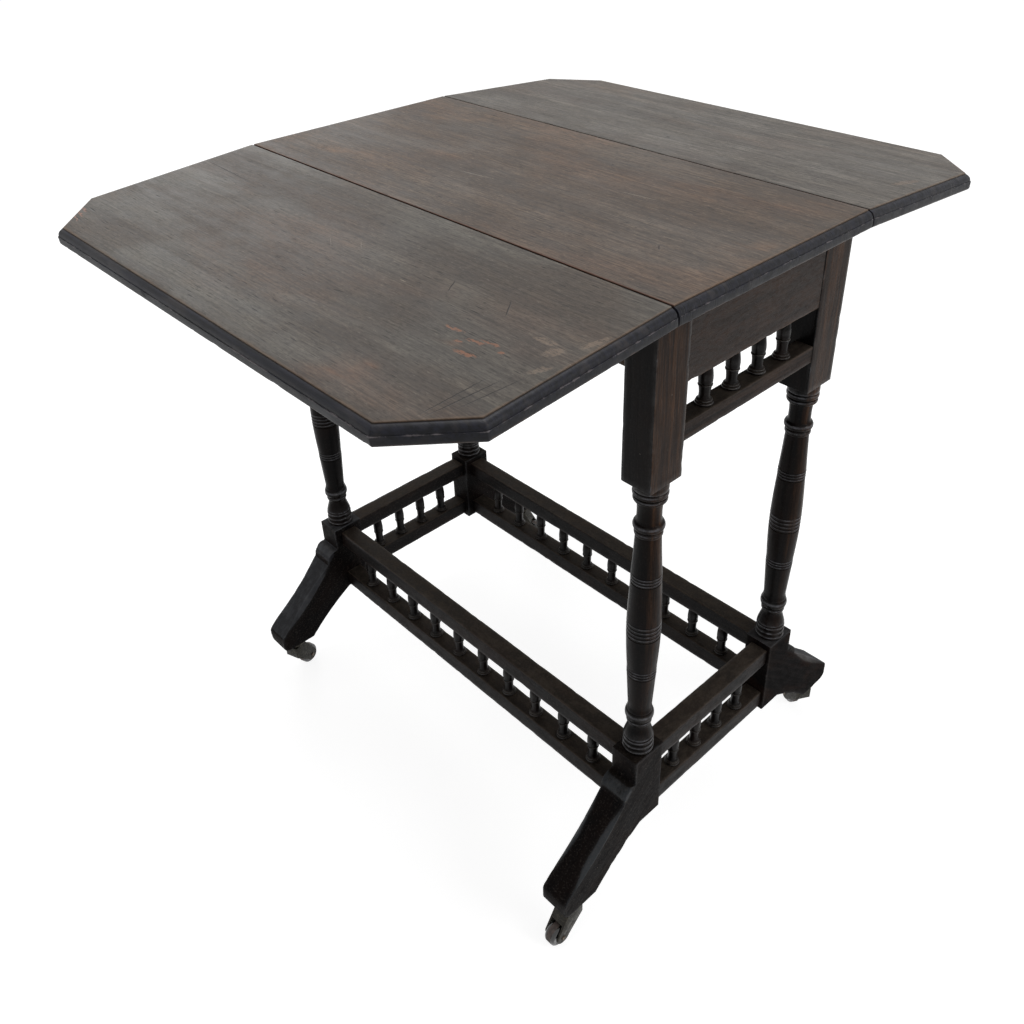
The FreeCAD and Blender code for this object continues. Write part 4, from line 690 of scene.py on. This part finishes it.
def foot_shell(x, sy):
    """The plank cut to the outline, its edges eased, and the chamfer worked on the slope."""
    count = len(foot_outline)
    offsets, chamfers = [], []
    for n, point in enumerate(foot_outline):
        before = (point - foot_outline[n - 1]).normalized()
        after = (foot_outline[(n + 1) % count] - point).normalized()
        inward = Vector((-before.y, before.x))
        inward_next = Vector((-after.y, after.x))
        offsets.append((inward + inward_next) / (1 + inward.dot(inward_next)))
        along = (point.x - slope_y) / (slope_end - slope_y)
        on_slope = 0 < along < 1 and point.y > slope_z - 6 + (toe_top - slope_z) * along
        bump = math.sin(math.pi * min(max((along - 0.03) / 0.85, 0), 1)) ** 0.8 if on_slope else 0.0
        chamfers.append(0.7 + 3.3 * bump)
    rings = []
    for side in (-1, 1):
        for reach, share, wear in ((1, -1, 0.0), (1, 1.0, 1.0), (0.55, 0.45, 1.0), (0, 0.0, 1.0), (-1, 0.0, 0.0)):
            ring = []
            for point, offset, chamfer in zip(foot_outline, offsets, chamfers):
                # The nose takes high wear so that it carries a painted highlight; the chamfer's wear draws a grey that
                # is partly a painted highlight.
                on_nose = 158 < point.y < bead_top and point.x > 135
                inset = chamfer + 3.0 if share < 0 else chamfer * share
                out = block_x - (0 if reach == 1 else chamfer * (1 - reach) if reach >= 0 else chamfer + 4.0)
                spot = Vector((x + side * out, *(point + offset * inset)))
                dent = wear * 1.3 * max(0.0, noise.noise(spot / 9) - 0.2)
                flat = point + offset * (inset + dent + 0.08)
                drift = noise.noise_vector(spot / 40) * 0.12
                ring.append((x + side * (out - dent * 0.5 - 0.08) + drift.x * 0.5, sy * flat.x, flat.y + drift.z,
                             max(wear * (0.45 + 0.17 * chamfer), 0.8 if on_nose else 0)))
            rings.append(ring)
    return skin(rings[:5] + rings[:4:-1])


# The grey on the noses and chamfers of the feet is partly wear and partly painted highlight; two feet also carry
# painted sheen on their upward faces.
foot_finish = stained_finish("foot_finish", 210.0, (78, 82, 86), outer=0.5, red=0.3, rough=0.5, polish=0.3, pepper=0.26)
foot_finishes = {
    "front_left": stained_finish("pale_foot_finish", 260.0, (78, 80, 86), outer=0.2, red=0.3, rough=0.5, polish=0.3,
                                 painted_sheen=0.85, pepper=0.3),
    "back_right": stained_finish("brown_foot_finish", 300.0, (78, 76, 74), outer=0.2, red=0.8, gloss=0.015, wear_and_highlight_amount=0.4,
                                 rough=0.6, polish=0.2, painted_sheen=0.6, pepper=0.10)}
for corner, (sx, sy) in leg_places.items():
    foot = make_piece("sledge_foot_" + corner, [foot_shell(sx * leg_x, sy)],
                      foot_finishes.get(corner, foot_finish),
                      along=(0, sy * 0.77, -0.64), up=(1, 0, 0), sharp=24)
    fit(foot, "frame", "foot_" + corner)

# ---------------------------------------------------------------- aprons and gallery rails
# Between the legs run deep aprons at the ends, plain unpolished ones under the leaves, and pairs
# of slim rails for the spindle galleries, all tenoned into the blocks.  Their tops hold dust, and
# the end apron has shrunk away from the back leg and left a gap that widens upwards.
rail_finish = stained_finish("rail_finish", 330.0, (92, 80, 70), outer=0.35, dust=0.5, red=0.5, gloss=0.06, wear_and_highlight_amount=0.35,
                             rough=0.42, polish=0.25)


shoulder_y, gap_low, gap_more, apron_low = 85, 0.35, 1.5, 611.0


def between(node, axis):
    """The corners of a rail between its shoulders, in mm."""
    low, high = [Vector(corner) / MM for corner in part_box(node)]
    low[axis] += tenon - tucked
    high[axis] -= tenon - tucked
    return low, high


for axis, names in ((1, ("upper_rail_right", "upper_rail_left", "lower_top_rail_right", "lower_top_rail_left",
                         "lower_bottom_rail_right", "lower_bottom_rail_left")),
                    (0, ("lower_top_rail_back", "lower_top_rail_front", "lower_bottom_rail_back",
                         "lower_bottom_rail_front"))):
    for name in names:
        rail = make_piece("gallery_" + name, [bar(*between(name, axis), axis, ends=0)], rail_finish,
                          along=(1 - axis, axis, 0))
        fit(rail, "frame", name)


def apron_finish(name):
    """Thin brown-black stain over crossed planing marks and scuffs."""
    f = Finish(bpy.data.materials.new(name))
    at = f.grain(15.0)
    bent = f.ragged(at, 2.0, 40.0)
    worn = f.attribute("worn")
    streak = f.ease(f.cloud(bent, (120, 5, 5), 4, 0.65), 0.36, 0.66)
    fibre = f.cloud(bent, (22, 0.9, 0.9), 3, 0.7)
    patch = f.ease(f.cloud(at, (54, 22, 22), 5, 0.65, 0.5), 0.38, 0.66)
    grit = f.ease(f.cloud(at, (7, 3, 3), 5, 0.75), 0.40, 0.66)
    face = f.layer(patch * 0.8, tone(34, 26, 22), tone(64, 47, 38))
    face = f.layer(streak * 0.35, face, tone(78, 62, 52))
    face = f.layer((1 - grit) * 0.35, face, tone(28, 23, 22))
    face = f.layer(f.ease(fibre, 0.58, 0.42) * 0.4, face, tone(22, 18, 17))
    hatch = f.most(f.dashes(bent, 28, 26, 2.6, 0.11, 0.30, 5.0), f.dashes(bent, 41, 20, 2.4, 0.10, 0.26, 19.0),
                   f.dashes(bent, -24, 24, 2.8, 0.10, 0.18, 37.0))
    face = f.layer(hatch * 0.32, face, tone(108, 92, 80))
    rub = f.cloud(at, (16, 7, 7), 5, 0.7)
    edge = f.ease(worn + (rub - 0.5) * 1.6, 0.42, 1.0)
    face = f.layer(edge * 0.6, face, tone(98, 78, 62))
    height = fibre * 0.5 + grit * 0.6 + streak * 0.3 - hatch * 0.4
    return f.surface(face, 0.46 + grit * 0.14 - hatch * 0.06, height, 0.14, gloss=0.12)


def back_gap(x, y, z, wear):
    """The shoulder that has drawn away from the back leg."""
    if y > shoulder_y:
        y -= gap_low + gap_more * (z - apron_low) / (underside - apron_low)
    return (x, y, z, wear)


end_finish = apron_finish("end_apron_finish")
for side in ("right", "left"):
    low, high = between("end_apron_" + side, 1)
    tongue = bar((low.x + 6, high.y - 6, low.z + 3), (high.x - 6, high.y + 3, high.z - 1), 1, ends=0, arris=0.3)
    apron = make_piece("apron_end_" + side, [bar(low, high, 1, arris=0.8, ends=0, bruised=1.8, shape=back_gap), tongue],
                       end_finish, along=(0, 1, 0), up=(1, 0, 0))
    fit(apron, "frame", "end_apron_" + side)


def plain_finish(name, shift, dark, light):
    """Plain wood that was never polished, brown with age and dust."""
    f = Finish(bpy.data.materials.new(name))
    at = f.grain(shift)
    bent = f.ragged(at, 3.0, 70.0)
    streak = f.ease(f.cloud(bent, (160, 6, 6), 4, 0.65), 0.34, 0.68)
    fibre = f.cloud(bent, (40, 1.0, 1.0), 3, 0.7)
    soil = f.ease(f.cloud(at, (60, 40, 40), 5, 0.65), 0.36, 0.66)
    saw = f.add("ShaderNodeTexWave", {}, {"Vector": bent, "Scale": 0.09, "Distortion": 3.0, "Detail Scale": 0.6}, "Fac")
    face = f.layer(streak, dark, light)
    face = f.layer(f.ease(fibre, 0.6, 0.4) * 0.4, face, tone(38, 29, 23))
    face = f.layer(soil * 0.5, face, tone(48, 40, 34))
    worn = f.attribute("worn")
    face = f.layer(f.ease(worn + soil * 0.4, 0.6, 1.3) * 0.35, face, tone(110, 90, 70))
    return f.surface(face, 0.66 + soil * 0.16, fibre * 0.5 + saw * 0.35 + streak * 0.3, 0.2, gloss=0.3)


side_finish = plain_finish("side_apron_finish", 70.0, tone(58, 44, 34), tone(88, 68, 52))
for side in ("back", "front"):
    low, high = between("long_apron_" + side, 0)
    apron = make_piece("apron_long_" + side, [bar(low, high, 0, arris=0.8, ends=0, step=9)], side_finish, up=(0, 1, 0))
    fit(apron, "frame", "long_apron_" + side)

# ---------------------------------------------------------------- spindles
# Small turned spindles fill the galleries: ten on each long side, four on each end and four under
# each end apron.  Each has a round foot in two steps, a slim neck, one ring and a barrel, and a
# peg at either end that sits in the rails.
# The pale grey on the spindles' rings is a painted highlight.
spindle_finish = stained_finish("spindle_finish", 520.0, (104, 98, 94), dust=0.7, gloss=0.08, pepper=0.12)


def spindle_profile(tall):
    """The outline of one spindle that stands between two rails, this far apart."""
    waist = 5 + (tall - 5) * 0.42
    shoulder = tall - 1.75
    low_ring, high_ring = waist - 1.5, waist + 0.3
    profile = [(7.2, -0.5, 0.0)] + bead(7.2, 0.1, 3.0, 8.0, 1.0) + bead(6.3, 3.1, 5.0, 7.0, 1.0)
    profile += [(5.5, 5.4, 0.0), (4.95, 7.0, 0.0), (4.9, 9.5, 0.0), (5.05, waist - 5.5, 0.0),
                (5.45, waist - 2.6, 0.0)]
    profile += bead(5.6, low_ring, high_ring, 6.4, 1.0)
    for t in [number / 10 for number in range(11)]:
        profile.append((4.7 + (0.95 + 0.95 * (1 - t)) * math.sin(math.pi * (0.18 + 0.80 * t)) ** 0.8,
                        high_ring + 0.3 + (shoulder - high_ring - 0.3) * t, 0.25 if 0.2 < t < 0.6 else 0.0))
    return profile + [(4.5, shoulder + 0.6, 0.0), (4.6, tall + 0.5, 0.0)]


def setting_out(name, inputs, own_nodes, own_links):
    """A rule that sets one piece out at many places, turns each copy its own way and colours it."""
    tree = bpy.data.node_groups.new(name, "GeometryNodeTree")
    tree.interface.new_socket(name="Geometry", in_out="OUTPUT", socket_type="NodeSocketGeometry")
    sockets, made = {}, {}
    for label, kind in inputs + [("Seed", "Int"), ("Finish", "Material")]:
        socket = tree.interface.new_socket(name=label, in_out="INPUT", socket_type="NodeSocket" + kind)
        sockets[label] = socket.identifier
    for label, kind, settings, values in own_nodes + [
            ("given", "NodeGroupInput", {}, {}), ("place", "GeometryNodeInstanceOnPoints", {}, {}),
            ("turn", "FunctionNodeRandomValue", {"data_type": "FLOAT"}, {3: 6.283}),
            ("upright", "ShaderNodeCombineXYZ", {}, {}), ("real", "GeometryNodeRealizeInstances", {}, {}),
            ("paint", "GeometryNodeSetMaterial", {}, {}), ("end", "NodeGroupOutput", {}, {})]:
        made[label] = tree.nodes.new(kind)
        for key, value in settings.items():
            setattr(made[label], key, value)
        for key, value in values.items():
            made[label].inputs[key].default_value = value
    for source, out, target, into in own_links + [
            ("given", "Seed", "turn", "Seed"), ("turn", 1, "upright", "Z"), ("real", 0, "paint", "Geometry"),
            ("given", "Finish", "paint", "Material"), ("paint", 0, "end", 0)]:
        tree.links.new(made[source].outputs[out], made[target].inputs[into])
    return tree, sockets


def worked_out(piece):
    """Turns what a tree makes into a plain mesh."""
    graph = bpy.context.evaluated_depsgraph_get()
    made = bpy.data.meshes.new_from_object(piece.evaluated_get(graph), preserve_all_data_layers=True, depsgraph=graph)
    piece.modifiers.clear()
    piece.data = made
    return piece


row_tree, row_sockets = setting_out(
    "spindle_row", [("Spindle", "Geometry"), ("Count", "Int"), ("First", "Vector"), ("Pitch", "Vector")],
    [("line", "GeometryNodeMeshLine", {"mode": "OFFSET"}, {}),
     ("own", "FunctionNodeRandomValue", {"data_type": "FLOAT"}, {3: 1.0, "Seed": 9}),
     ("mark", "GeometryNodeStoreNamedAttribute", {"data_type": "FLOAT", "domain": "INSTANCE"}, {"Name": "shift"})],
    [("given", "Count", "line", "Count"), ("given", "First", "line", "Start Location"),
     ("given", "Pitch", "line", "Offset"), ("line", "Mesh", "place", "Points"),
     ("given", "Spindle", "place", "Instance"), ("upright", 0, "place", "Rotation"), ("place", 0, "mark", "Geometry"),
     ("own", 1, "mark", "Value"), ("mark", 0, "real", 0)])
for seed, (node, axis, bottom_rail, top_rail, count) in enumerate((
        ("upper_spindles_right", 1, "upper_rail_right", "end_apron_right", 4),
        ("upper_spindles_left", 1, "upper_rail_left", "end_apron_left", 4),
        ("lower_spindles_right", 1, "lower_bottom_rail_right", "lower_top_rail_right", 4),
        ("lower_spindles_left", 1, "lower_bottom_rail_left", "lower_top_rail_left", 4),
        ("lower_spindles_back", 0, "lower_bottom_rail_back", "lower_top_rail_back", 10),
        ("lower_spindles_front", 0, "lower_bottom_rail_front", "lower_top_rail_front", 10))):
    foot_z, head_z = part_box(bottom_rail)[1].z / MM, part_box(top_rail)[0].z / MM
    row = make_piece("turned_" + node, [lathe(spindle_profile(head_z - foot_z), (0, 0), sides=28, uneven=0.1)],
                     spindle_finish, along=(0, 0, 1), up=(1, 0, 0), sharp=50)
    low, high = [Vector(corner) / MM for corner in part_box(node)]
    span = 2 * (leg_x - block_x) if axis == 0 else 2 * (leg_y - block_y)
    pitch, first = Vector((0, 0, 0)), (low + high) / 2
    pitch[axis] = span / (count + 1)
    first[axis] = pitch[axis] - span / 2
    first.z = foot_z
    rule = row.modifiers.new("row", "NODES")
    rule.node_group = row_tree
    rule[row_sockets["Count"]] = count
    rule[row_sockets["First"]] = first * MM
    rule[row_sockets["Pitch"]] = pitch * MM
    rule[row_sockets["Seed"]] = seed
    rule[row_sockets["Finish"]] = spindle_finish
    fit(worked_out(row), "frame", node)

# ---------------------------------------------------------------- hinges
# Four iron back-flap hinges, a short flap let on to the middle board and a long one on each leaf,
# rolled in turn round a plain pin.  Three slotted countersunk screws hold every flap.
def eased_copy(name, node, finish, arris, along=(1, 0, 0), up=(0, 0, 1)):
    """A piece made to its solid's shape, every hard edge rounded over a little and rubbed."""
    shape = bmesh.new()
    shape.from_mesh(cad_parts[node].data)
    bmesh.ops.remove_doubles(shape, verts=shape.verts, dist=0.00001)
    bmesh.ops.dissolve_limit(shape, angle_limit=math.radians(0.8), verts=shape.verts, edges=shape.edges)
    hard = [edge for edge in shape.edges if len(edge.link_faces) == 2 and edge.calc_face_angle() > math.radians(32)]
    made = bmesh.ops.bevel(shape, geom=hard, offset=arris * MM, segments=2, profile=0.6, affect="EDGES",
                           clamp_overlap=True)
    rubbed = set(made["verts"])
    shape.verts.index_update()
    points = [(*(vertex.co / MM), 0.9 if vertex in rubbed else 0.0) for vertex in shape.verts]
    faces = [tuple(vertex.index for vertex in face.verts) for face in shape.faces]
    shape.free()
    return make_piece(name, [(points, faces)], finish, along, up, sharp=40)


def metal_finish(name, shift, dull, tarnish, bright, rough, metal, fine=1.0):
    """Old metal: cloudy tarnish, fine draw lines, small pits and edges rubbed bright."""
    f = Finish(bpy.data.materials.new(name))
    at = f.grain(shift)
    worn = f.attribute("worn")
    cloudy = f.ease(f.cloud(at, (9, 9, 9), 5, 0.65, 0.5), 0.38, 0.64)
    crust = f.ease(f.cloud(at, (2.6, 2.6, 2.6), 5, 0.7), 0.44, 0.64)
    pitted = f.ease(f.cloud(at, (1.3, 1.3, 1.3), 3, 0.6), 0.60, 0.70)
    drawn = f.ease(f.cloud(at, (18 * fine, 0.5, 0.5), 3, 0.7), 0.40, 0.62)
    face = f.layer(cloudy * 0.85, dull, tarnish)
    face = f.layer(drawn * 0.25, face, bright)
    face = f.layer(crust * 0.35, face, tone(38, 30, 25))
    edge = f.ease(worn + (crust - 0.5) * 1.3, 0.45, 1.1)
    face = f.layer(edge * 0.55, face, bright)
    face = f.layer(pitted * 0.6, face, tone(24, 20, 18))
    roughness = rough + cloudy * 0.14 + crust * 0.08 - edge * 0.12
    return f.surface(face, roughness, drawn * 0.25 + crust * 0.5 - pitted, 0.06, gloss=0.2, metal=metal)


def slotted_screw():
    """The head and the start of the shank of a slotted countersunk screw, its face down and level at 0."""
    outline = [(1.45, 4.0), (1.45, 1.7), (1.6, 1.55), (2.75, 0.12), (2.86, 0.04), (2.8, 0.0), (2.5, 0.0)]
    rings = [[(radius * math.cos(math.tau * k / 20), radius * math.sin(math.tau * k / 20), height) for k in range(20)]
             for radius, height in outline]
    points, faces = skin(rings)
    shape = bmesh.new()
    corners = [shape.verts.new(point) for point in points]
    for face in faces:
        shape.faces.new([corners[index] for index in face])
    shape.faces.ensure_lookup_table()
    lid = min(shape.faces, key=lambda face: face.calc_center_median().z)
    for side in (-0.32, 0.32):
        around = [lid, *lid.edges, *lid.verts]
        bmesh.ops.bisect_plane(shape, geom=around, plane_co=(0, side, 0), plane_no=(0, 1, 0))
        flat = [face for face in shape.faces if max(vertex.co.z for vertex in face.verts) < 0.001 and
                max(vertex.co.to_2d().length for vertex in face.verts) < 2.6]
        lid = min(flat, key=lambda face: abs(face.calc_center_median().y))
    slot = bmesh.ops.extrude_discrete_faces(shape, faces=[lid])["faces"][0]
    for vertex in slot.verts:
        vertex.co.z += 0.7
    shape.verts.index_update()
    made = ([tuple(vertex.co) for vertex in shape.verts],
            [tuple(vertex.index for vertex in face.verts) for face in shape.faces])
    shape.free()
    return made


screw_shell = slotted_screw()
screw_tree, screw_sockets = setting_out(
    "fixings", [("Screw and places", "Geometry")],
    [("loose", "GeometryNodeInputNamedAttribute", {"data_type": "FLOAT"}, {"Name": "place"}),
     ("aim", "GeometryNodeInputNamedAttribute", {"data_type": "FLOAT_VECTOR"}, {"Name": "aim"}),
     ("chosen", "FunctionNodeCompare", {}, {1: 0.5}), ("split", "GeometryNodeSeparateGeometry", {}, {}),
     ("both", "FunctionNodeRotateRotation", {"rotation_space": "LOCAL"}, {})],
    [("given", 0, "split", 0), ("loose", 0, "chosen", 0), ("chosen", 0, "split", 1),
     ("split", 0, "place", "Points"), ("split", 1, "place", "Instance"), ("aim", 0, "both", 0),
     ("upright", 0, "both", 1), ("both", 0, "place", "Rotation"), ("place", 0, "real", 0)])


def screws(name, places, seed, finish):
    """All the screws of one set, each place being a point in mm and the turn that aims the shank."""
    piece = make_piece(name, [screw_shell, ([place for place, aim in places], [])], finish, sharp=35)
    first = len(screw_shell[0])
    carry(piece.data, "place", "value", [0.0] * first + [1.0] * len(places))
    carry(piece.data, "aim", "vector", [(0, 0, 0)] * first + [aim for place, aim in places])
    rule = piece.modifiers.new("set", "NODES")
    rule.node_group = screw_tree
    rule[screw_sockets["Seed"]] = seed
    rule[screw_sockets["Finish"]] = finish
    return worked_out(piece)


iron_finish = metal_finish("iron_finish", 12.0, tone(62, 54, 49), tone(74, 56, 44), tone(128, 120, 110), 0.48, 0.7)
screw_finish = metal_finish("screw_finish", 95.0, tone(70, 64, 58), tone(82, 64, 50), tone(140, 132, 120), 0.42, 0.75)
hinge_x, screw_pitch = 195.0, 17.0
top_row, top_sunk, leaf_row, leaf_sunk = 117.6, 1.8, 19.5, 2.2
hinge_xs = [side * hinge_x + step * screw_pitch for side in (1, -1) for step in (-1, 0, 1)]
for node, body in (("hinge_flaps_top", "frame"), ("hinge_flaps_back", "back_leaf"),
                   ("hinge_flaps_front", "front_leaf")):
    fit(eased_copy("iron_" + node, node, iron_finish, 0.3), body, node)
fit(eased_copy("iron_hinge_pins", "hinge_pins", screw_finish, 0.25), "frame", "hinge_pins")
fixed_places = [((x, sy * top_row, underside - top_sunk), (0, 0, 0)) for x in hinge_xs for sy in (1, -1)]
fit(screws("screws_top", fixed_places, 3, screw_finish), "frame", "hinge_screws_top")
leaf_places = [(hang_back(x, leaf_row, pin_drop + board_thickness - leaf_sunk), (-droop, 0, 0)) for x in hinge_xs]
fit(screws("screws_back_leaf", leaf_places, 5, screw_finish), "back_leaf", "hinge_screws_leaf_back")
leaf_places = [((x, -y, z), (droop, 0, 0)) for (x, y, z), aim in leaf_places]
fit(screws("screws_front_leaf", leaf_places, 8, screw_finish), "front_leaf", "hinge_screws_leaf_front")

# ---------------------------------------------------------------- stays
# A short wooden prop swings out under each end of both leaves from a folded iron bracket, which is
# screwed to the long apron.  It turns on a steel pin, and its end is cut to lie against the leaf.
bracket_x, bracket_y, bracket_z, bracket_pitch = 140.0, 108.2, 635.0, 15.6
prop_finish = plain_finish("prop_finish", 190.0, tone(52, 40, 32), tone(84, 64, 49))
for corner, (sx, sy) in leg_places.items():
    prop = eased_copy("prop_" + corner, "stay_" + corner, prop_finish, 0.9, along=(0, sy * 0.906, 0.423), up=(1, 0, 0))
    fit(prop, "prop_" + corner, "stay_" + corner)
fit(eased_copy("iron_brackets", "stay_brackets", iron_finish, 0.35, along=(0, 0, 1), up=(1, 0, 0)),
    "frame", "stay_brackets")
fit(eased_copy("iron_stay_pins", "stay_pins", screw_finish, 0.3), "frame", "stay_pins")
bracket_places = [((sx * bracket_x, sy * bracket_y, bracket_z + step * bracket_pitch), (sy * math.pi / 2, 0, 0))
                  for sx in (1, -1) for sy in (1, -1) for step in (1, -1)]
fit(screws("screws_bracket", bracket_places, 21, screw_finish), "frame", "stay_bracket_screws")

# ---------------------------------------------------------------- castors
# A small castor under each toe: a cast fork gone dull and nearly black swivels in a round plate
# with three screws, and carries a turned black wheel on a riveted axle, its tread grey with dust.
plate_finish = metal_finish("plate_finish", 33.0, tone(46, 43, 38), tone(38, 35, 29), tone(104, 98, 84), 0.45, 0.3)
fork_finish = metal_finish("fork_finish", 71.0, tone(26, 25, 21), tone(17, 16, 13), tone(74, 70, 58), 0.42, 0.1, 0.3)


def wheel_finish():
    """Black and glossy on the cheeks and the shoulders, rubbed grey and dusty where it runs."""
    f = Finish(bpy.data.materials.new("wheel_finish"))
    at = f.grain(7.0)
    run = f.attribute("worn")
    speckle = f.cloud(at, (1.8, 1.8, 1.8), 5, 0.7)
    smear = f.ease(f.cloud(at, (7, 7, 7), 4, 0.6, 0.4), 0.40, 0.64)
    dusty = f.ease(run + (speckle - 0.5) * 0.9, 0.45, 0.85)
    face = f.layer(smear * 0.4, tone(7, 7, 7), tone(20, 18, 17))
    dust = f.layer(smear, tone(90, 78, 73), tone(50, 43, 40))
    dust = f.layer(f.ease(speckle, 0.52, 0.38) * 0.5, dust, tone(60, 52, 48))
    face = f.layer(dusty, face, dust)
    return f.surface(face, 0.16 + dusty * 0.45 + smear * 0.08, speckle * (0.2 + dusty), 0.05, gloss=0.5,
                     coat=0.5 - dusty * 0.5)


castor_y, trail, wheel_radius = 206.7, 19.0, 13.0
screw_ring, plate_sunk, wheel_sides = 9.9, 2.5, 56
castor_turns = {"front_left": 109.0, "front_right": -90.0, "back_left": 30.0, "back_right": 150.0}
fit(eased_copy("round_plates", "castor_plates", plate_finish, 0.4), "frame", "castor_plates")
plate_places = [((sx * (leg_x + screw_ring * math.cos(turn)), sy * (castor_y + screw_ring * math.sin(turn)),
                  toe_low - plate_sunk), (0, 0, 0))
                for sx, sy in leg_places.values() for turn in (math.pi / 2, math.pi * 7 / 6, math.pi * 11 / 6)]
fit(screws("screws_castor", plate_places, 13, screw_finish), "frame", "castor_screws")
tread_finish = wheel_finish()
half_wheel = [(2.5, 0.0, 0.0), (2.5, 6.4, 0.0), (4.4, 6.45, 0.0), (4.9, 6.2, 0.0), (5.2, 5.6, 0.0), (8.6, 5.5, 0.0),
              (9.2, 5.9, 0.0), (9.7, 6.4, 0.0), (10.4, 6.42, 0.1), (11.5, 6.0, 0.15), (12.3, 5.2, 0.2),
              (12.8, 4.2, 0.3), (12.95, 3.4, 0.6), (12.95, 2.4, 1.0), (12.95, 1.0, 1.0)]
wheel_profile = half_wheel[1:] + [(radius, -side, wear) for radius, side, wear in reversed(half_wheel)]
for corner, (sx, sy) in leg_places.items():
    turn = Matrix.Rotation(math.radians(castor_turns[corner]), 4, "Z")
    stand = Matrix.Translation((sx * leg_x, sy * castor_y, wheel_radius)) @ turn
    stand = stand @ Matrix.Translation((trail, 0, 0)) @ Matrix.Rotation(math.pi / 2, 4, "X")
    rings = []
    for radius, side, wear in wheel_profile:
        ring = []
        for k in range(wheel_sides):
            angle = math.tau * k / wheel_sides
            reach = radius - 0.12 * wear * (0.5 + 0.5 * noise.noise(Vector((angle * 2, side, wear * 3))))
            ring.append((*(stand @ Vector((reach * math.cos(angle), reach * math.sin(angle), side))), wear))
        rings.append(ring)
    axle_way = stand.to_3x3() @ Vector((0, 0, 1))
    wheel = make_piece("wheel_" + corner, [skin(rings, capped=False)], tread_finish, along=axle_way, sharp=40)
    fit(wheel, "wheel_" + corner, "castor_wheel_" + corner)
    fork = eased_copy("fork_" + corner, "castor_fork_" + corner, fork_finish, 0.55, along=(0, 0, 1), up=axle_way)
    fit(fork, "fork_" + corner, "castor_fork_" + corner)
    axle = eased_copy("axle_" + corner, "castor_axle_" + corner, screw_finish, 0.5, along=axle_way)
    fit(axle, "fork_" + corner, "castor_axle_" + corner)

# ---------------------------------------------------------------- floor, light and camera
# A white floor that keeps the shadow, a white room, and broad soft lamps: most of the light falls
# from above, with some from the far left and the right, so the long side stays the darkest.
bpy.context.scene.view_settings.view_transform = "Standard"
floor_mesh = bpy.data.meshes.new("floor")
floor_mesh.from_pydata([(-9, -9, 0), (9, -9, 0), (9, 9, 0), (-9, 9, 0)], [], [(0, 1, 2, 3)])
floor = bpy.data.objects.new("floor", floor_mesh)
bpy.context.scene.collection.objects.link(floor)


def in_view(f):
    """1 where the camera looks, straight or by way of a shine, and 0 for light that falls on things."""
    rays = f.add("ShaderNodeLightPath", {}, (), "Is Camera Ray")
    return f.most(rays, rays.pick("Is Glossy Ray"), rays.pick("Is Transmission Ray"))


f = Finish(bpy.data.materials.new("white_floor"))
paint = f.add("ShaderNodeBsdfDiffuse", {}, {"Color": (0.42, 0.42, 0.42, 1)})
glow = f.add("ShaderNodeEmission", {}, {"Color": (1, 1, 1, 1), "Strength": in_view(f) * 0.86})
f.add("ShaderNodeOutputMaterial", {}, {"Surface": f.add("ShaderNodeAddShader", {}, [paint, glow])})
floor_mesh.materials.append(f.owner)

bpy.context.scene.world = bpy.data.worlds.new("white_room")
f = Finish(bpy.context.scene.world)
sky = f.add("ShaderNodeBackground", {}, {"Color": (1, 1, 1, 1), "Strength": in_view(f) * 0.64 + 0.36})
f.add("ShaderNodeOutputWorld", {}, {"Surface": sky})


def lamp(name, at, towards, size, power):
    """A round soft lamp, its face turned to a place."""
    light = bpy.data.lights.new(name, "AREA")
    light.shape = "DISK"
    light.size = size
    light.energy = power
    holder = bpy.data.objects.new(name, light)
    holder.location = at
    holder.rotation_euler = (Vector(towards) - Vector(at)).to_track_quat("-Z", "Y").to_euler()
    bpy.context.scene.collection.objects.link(holder)


lamp("top_lamp", (0.0, 0.2, 2.8), (0, 0, 0.6), 1.1, 42)
lamp("left_lamp", (-2.7, 0.9, 1.6), (0, 0, 0.6), 1.2, 11)
lamp("right_lamp", (2.4, 0.6, 1.5), (0, 0, 0.45), 1.0, 13)

camera = bpy.data.cameras.new("camera")
camera.lens = 35.229
camera.sensor_width = 36.0
camera.shift_x, camera.shift_y = -0.01430, -0.08786
camera.clip_start = 0.05
eye = bpy.data.objects.new("camera", camera)
eye.location = (0.679427, -0.636583, 1.001000)
eye.rotation_euler = tuple(math.radians(angle) for angle in (57.7947, 1.4138, 46.4791))
bpy.context.scene.collection.objects.link(eye)
bpy.context.scene.camera = eye

bpy.context.view_layer.update()
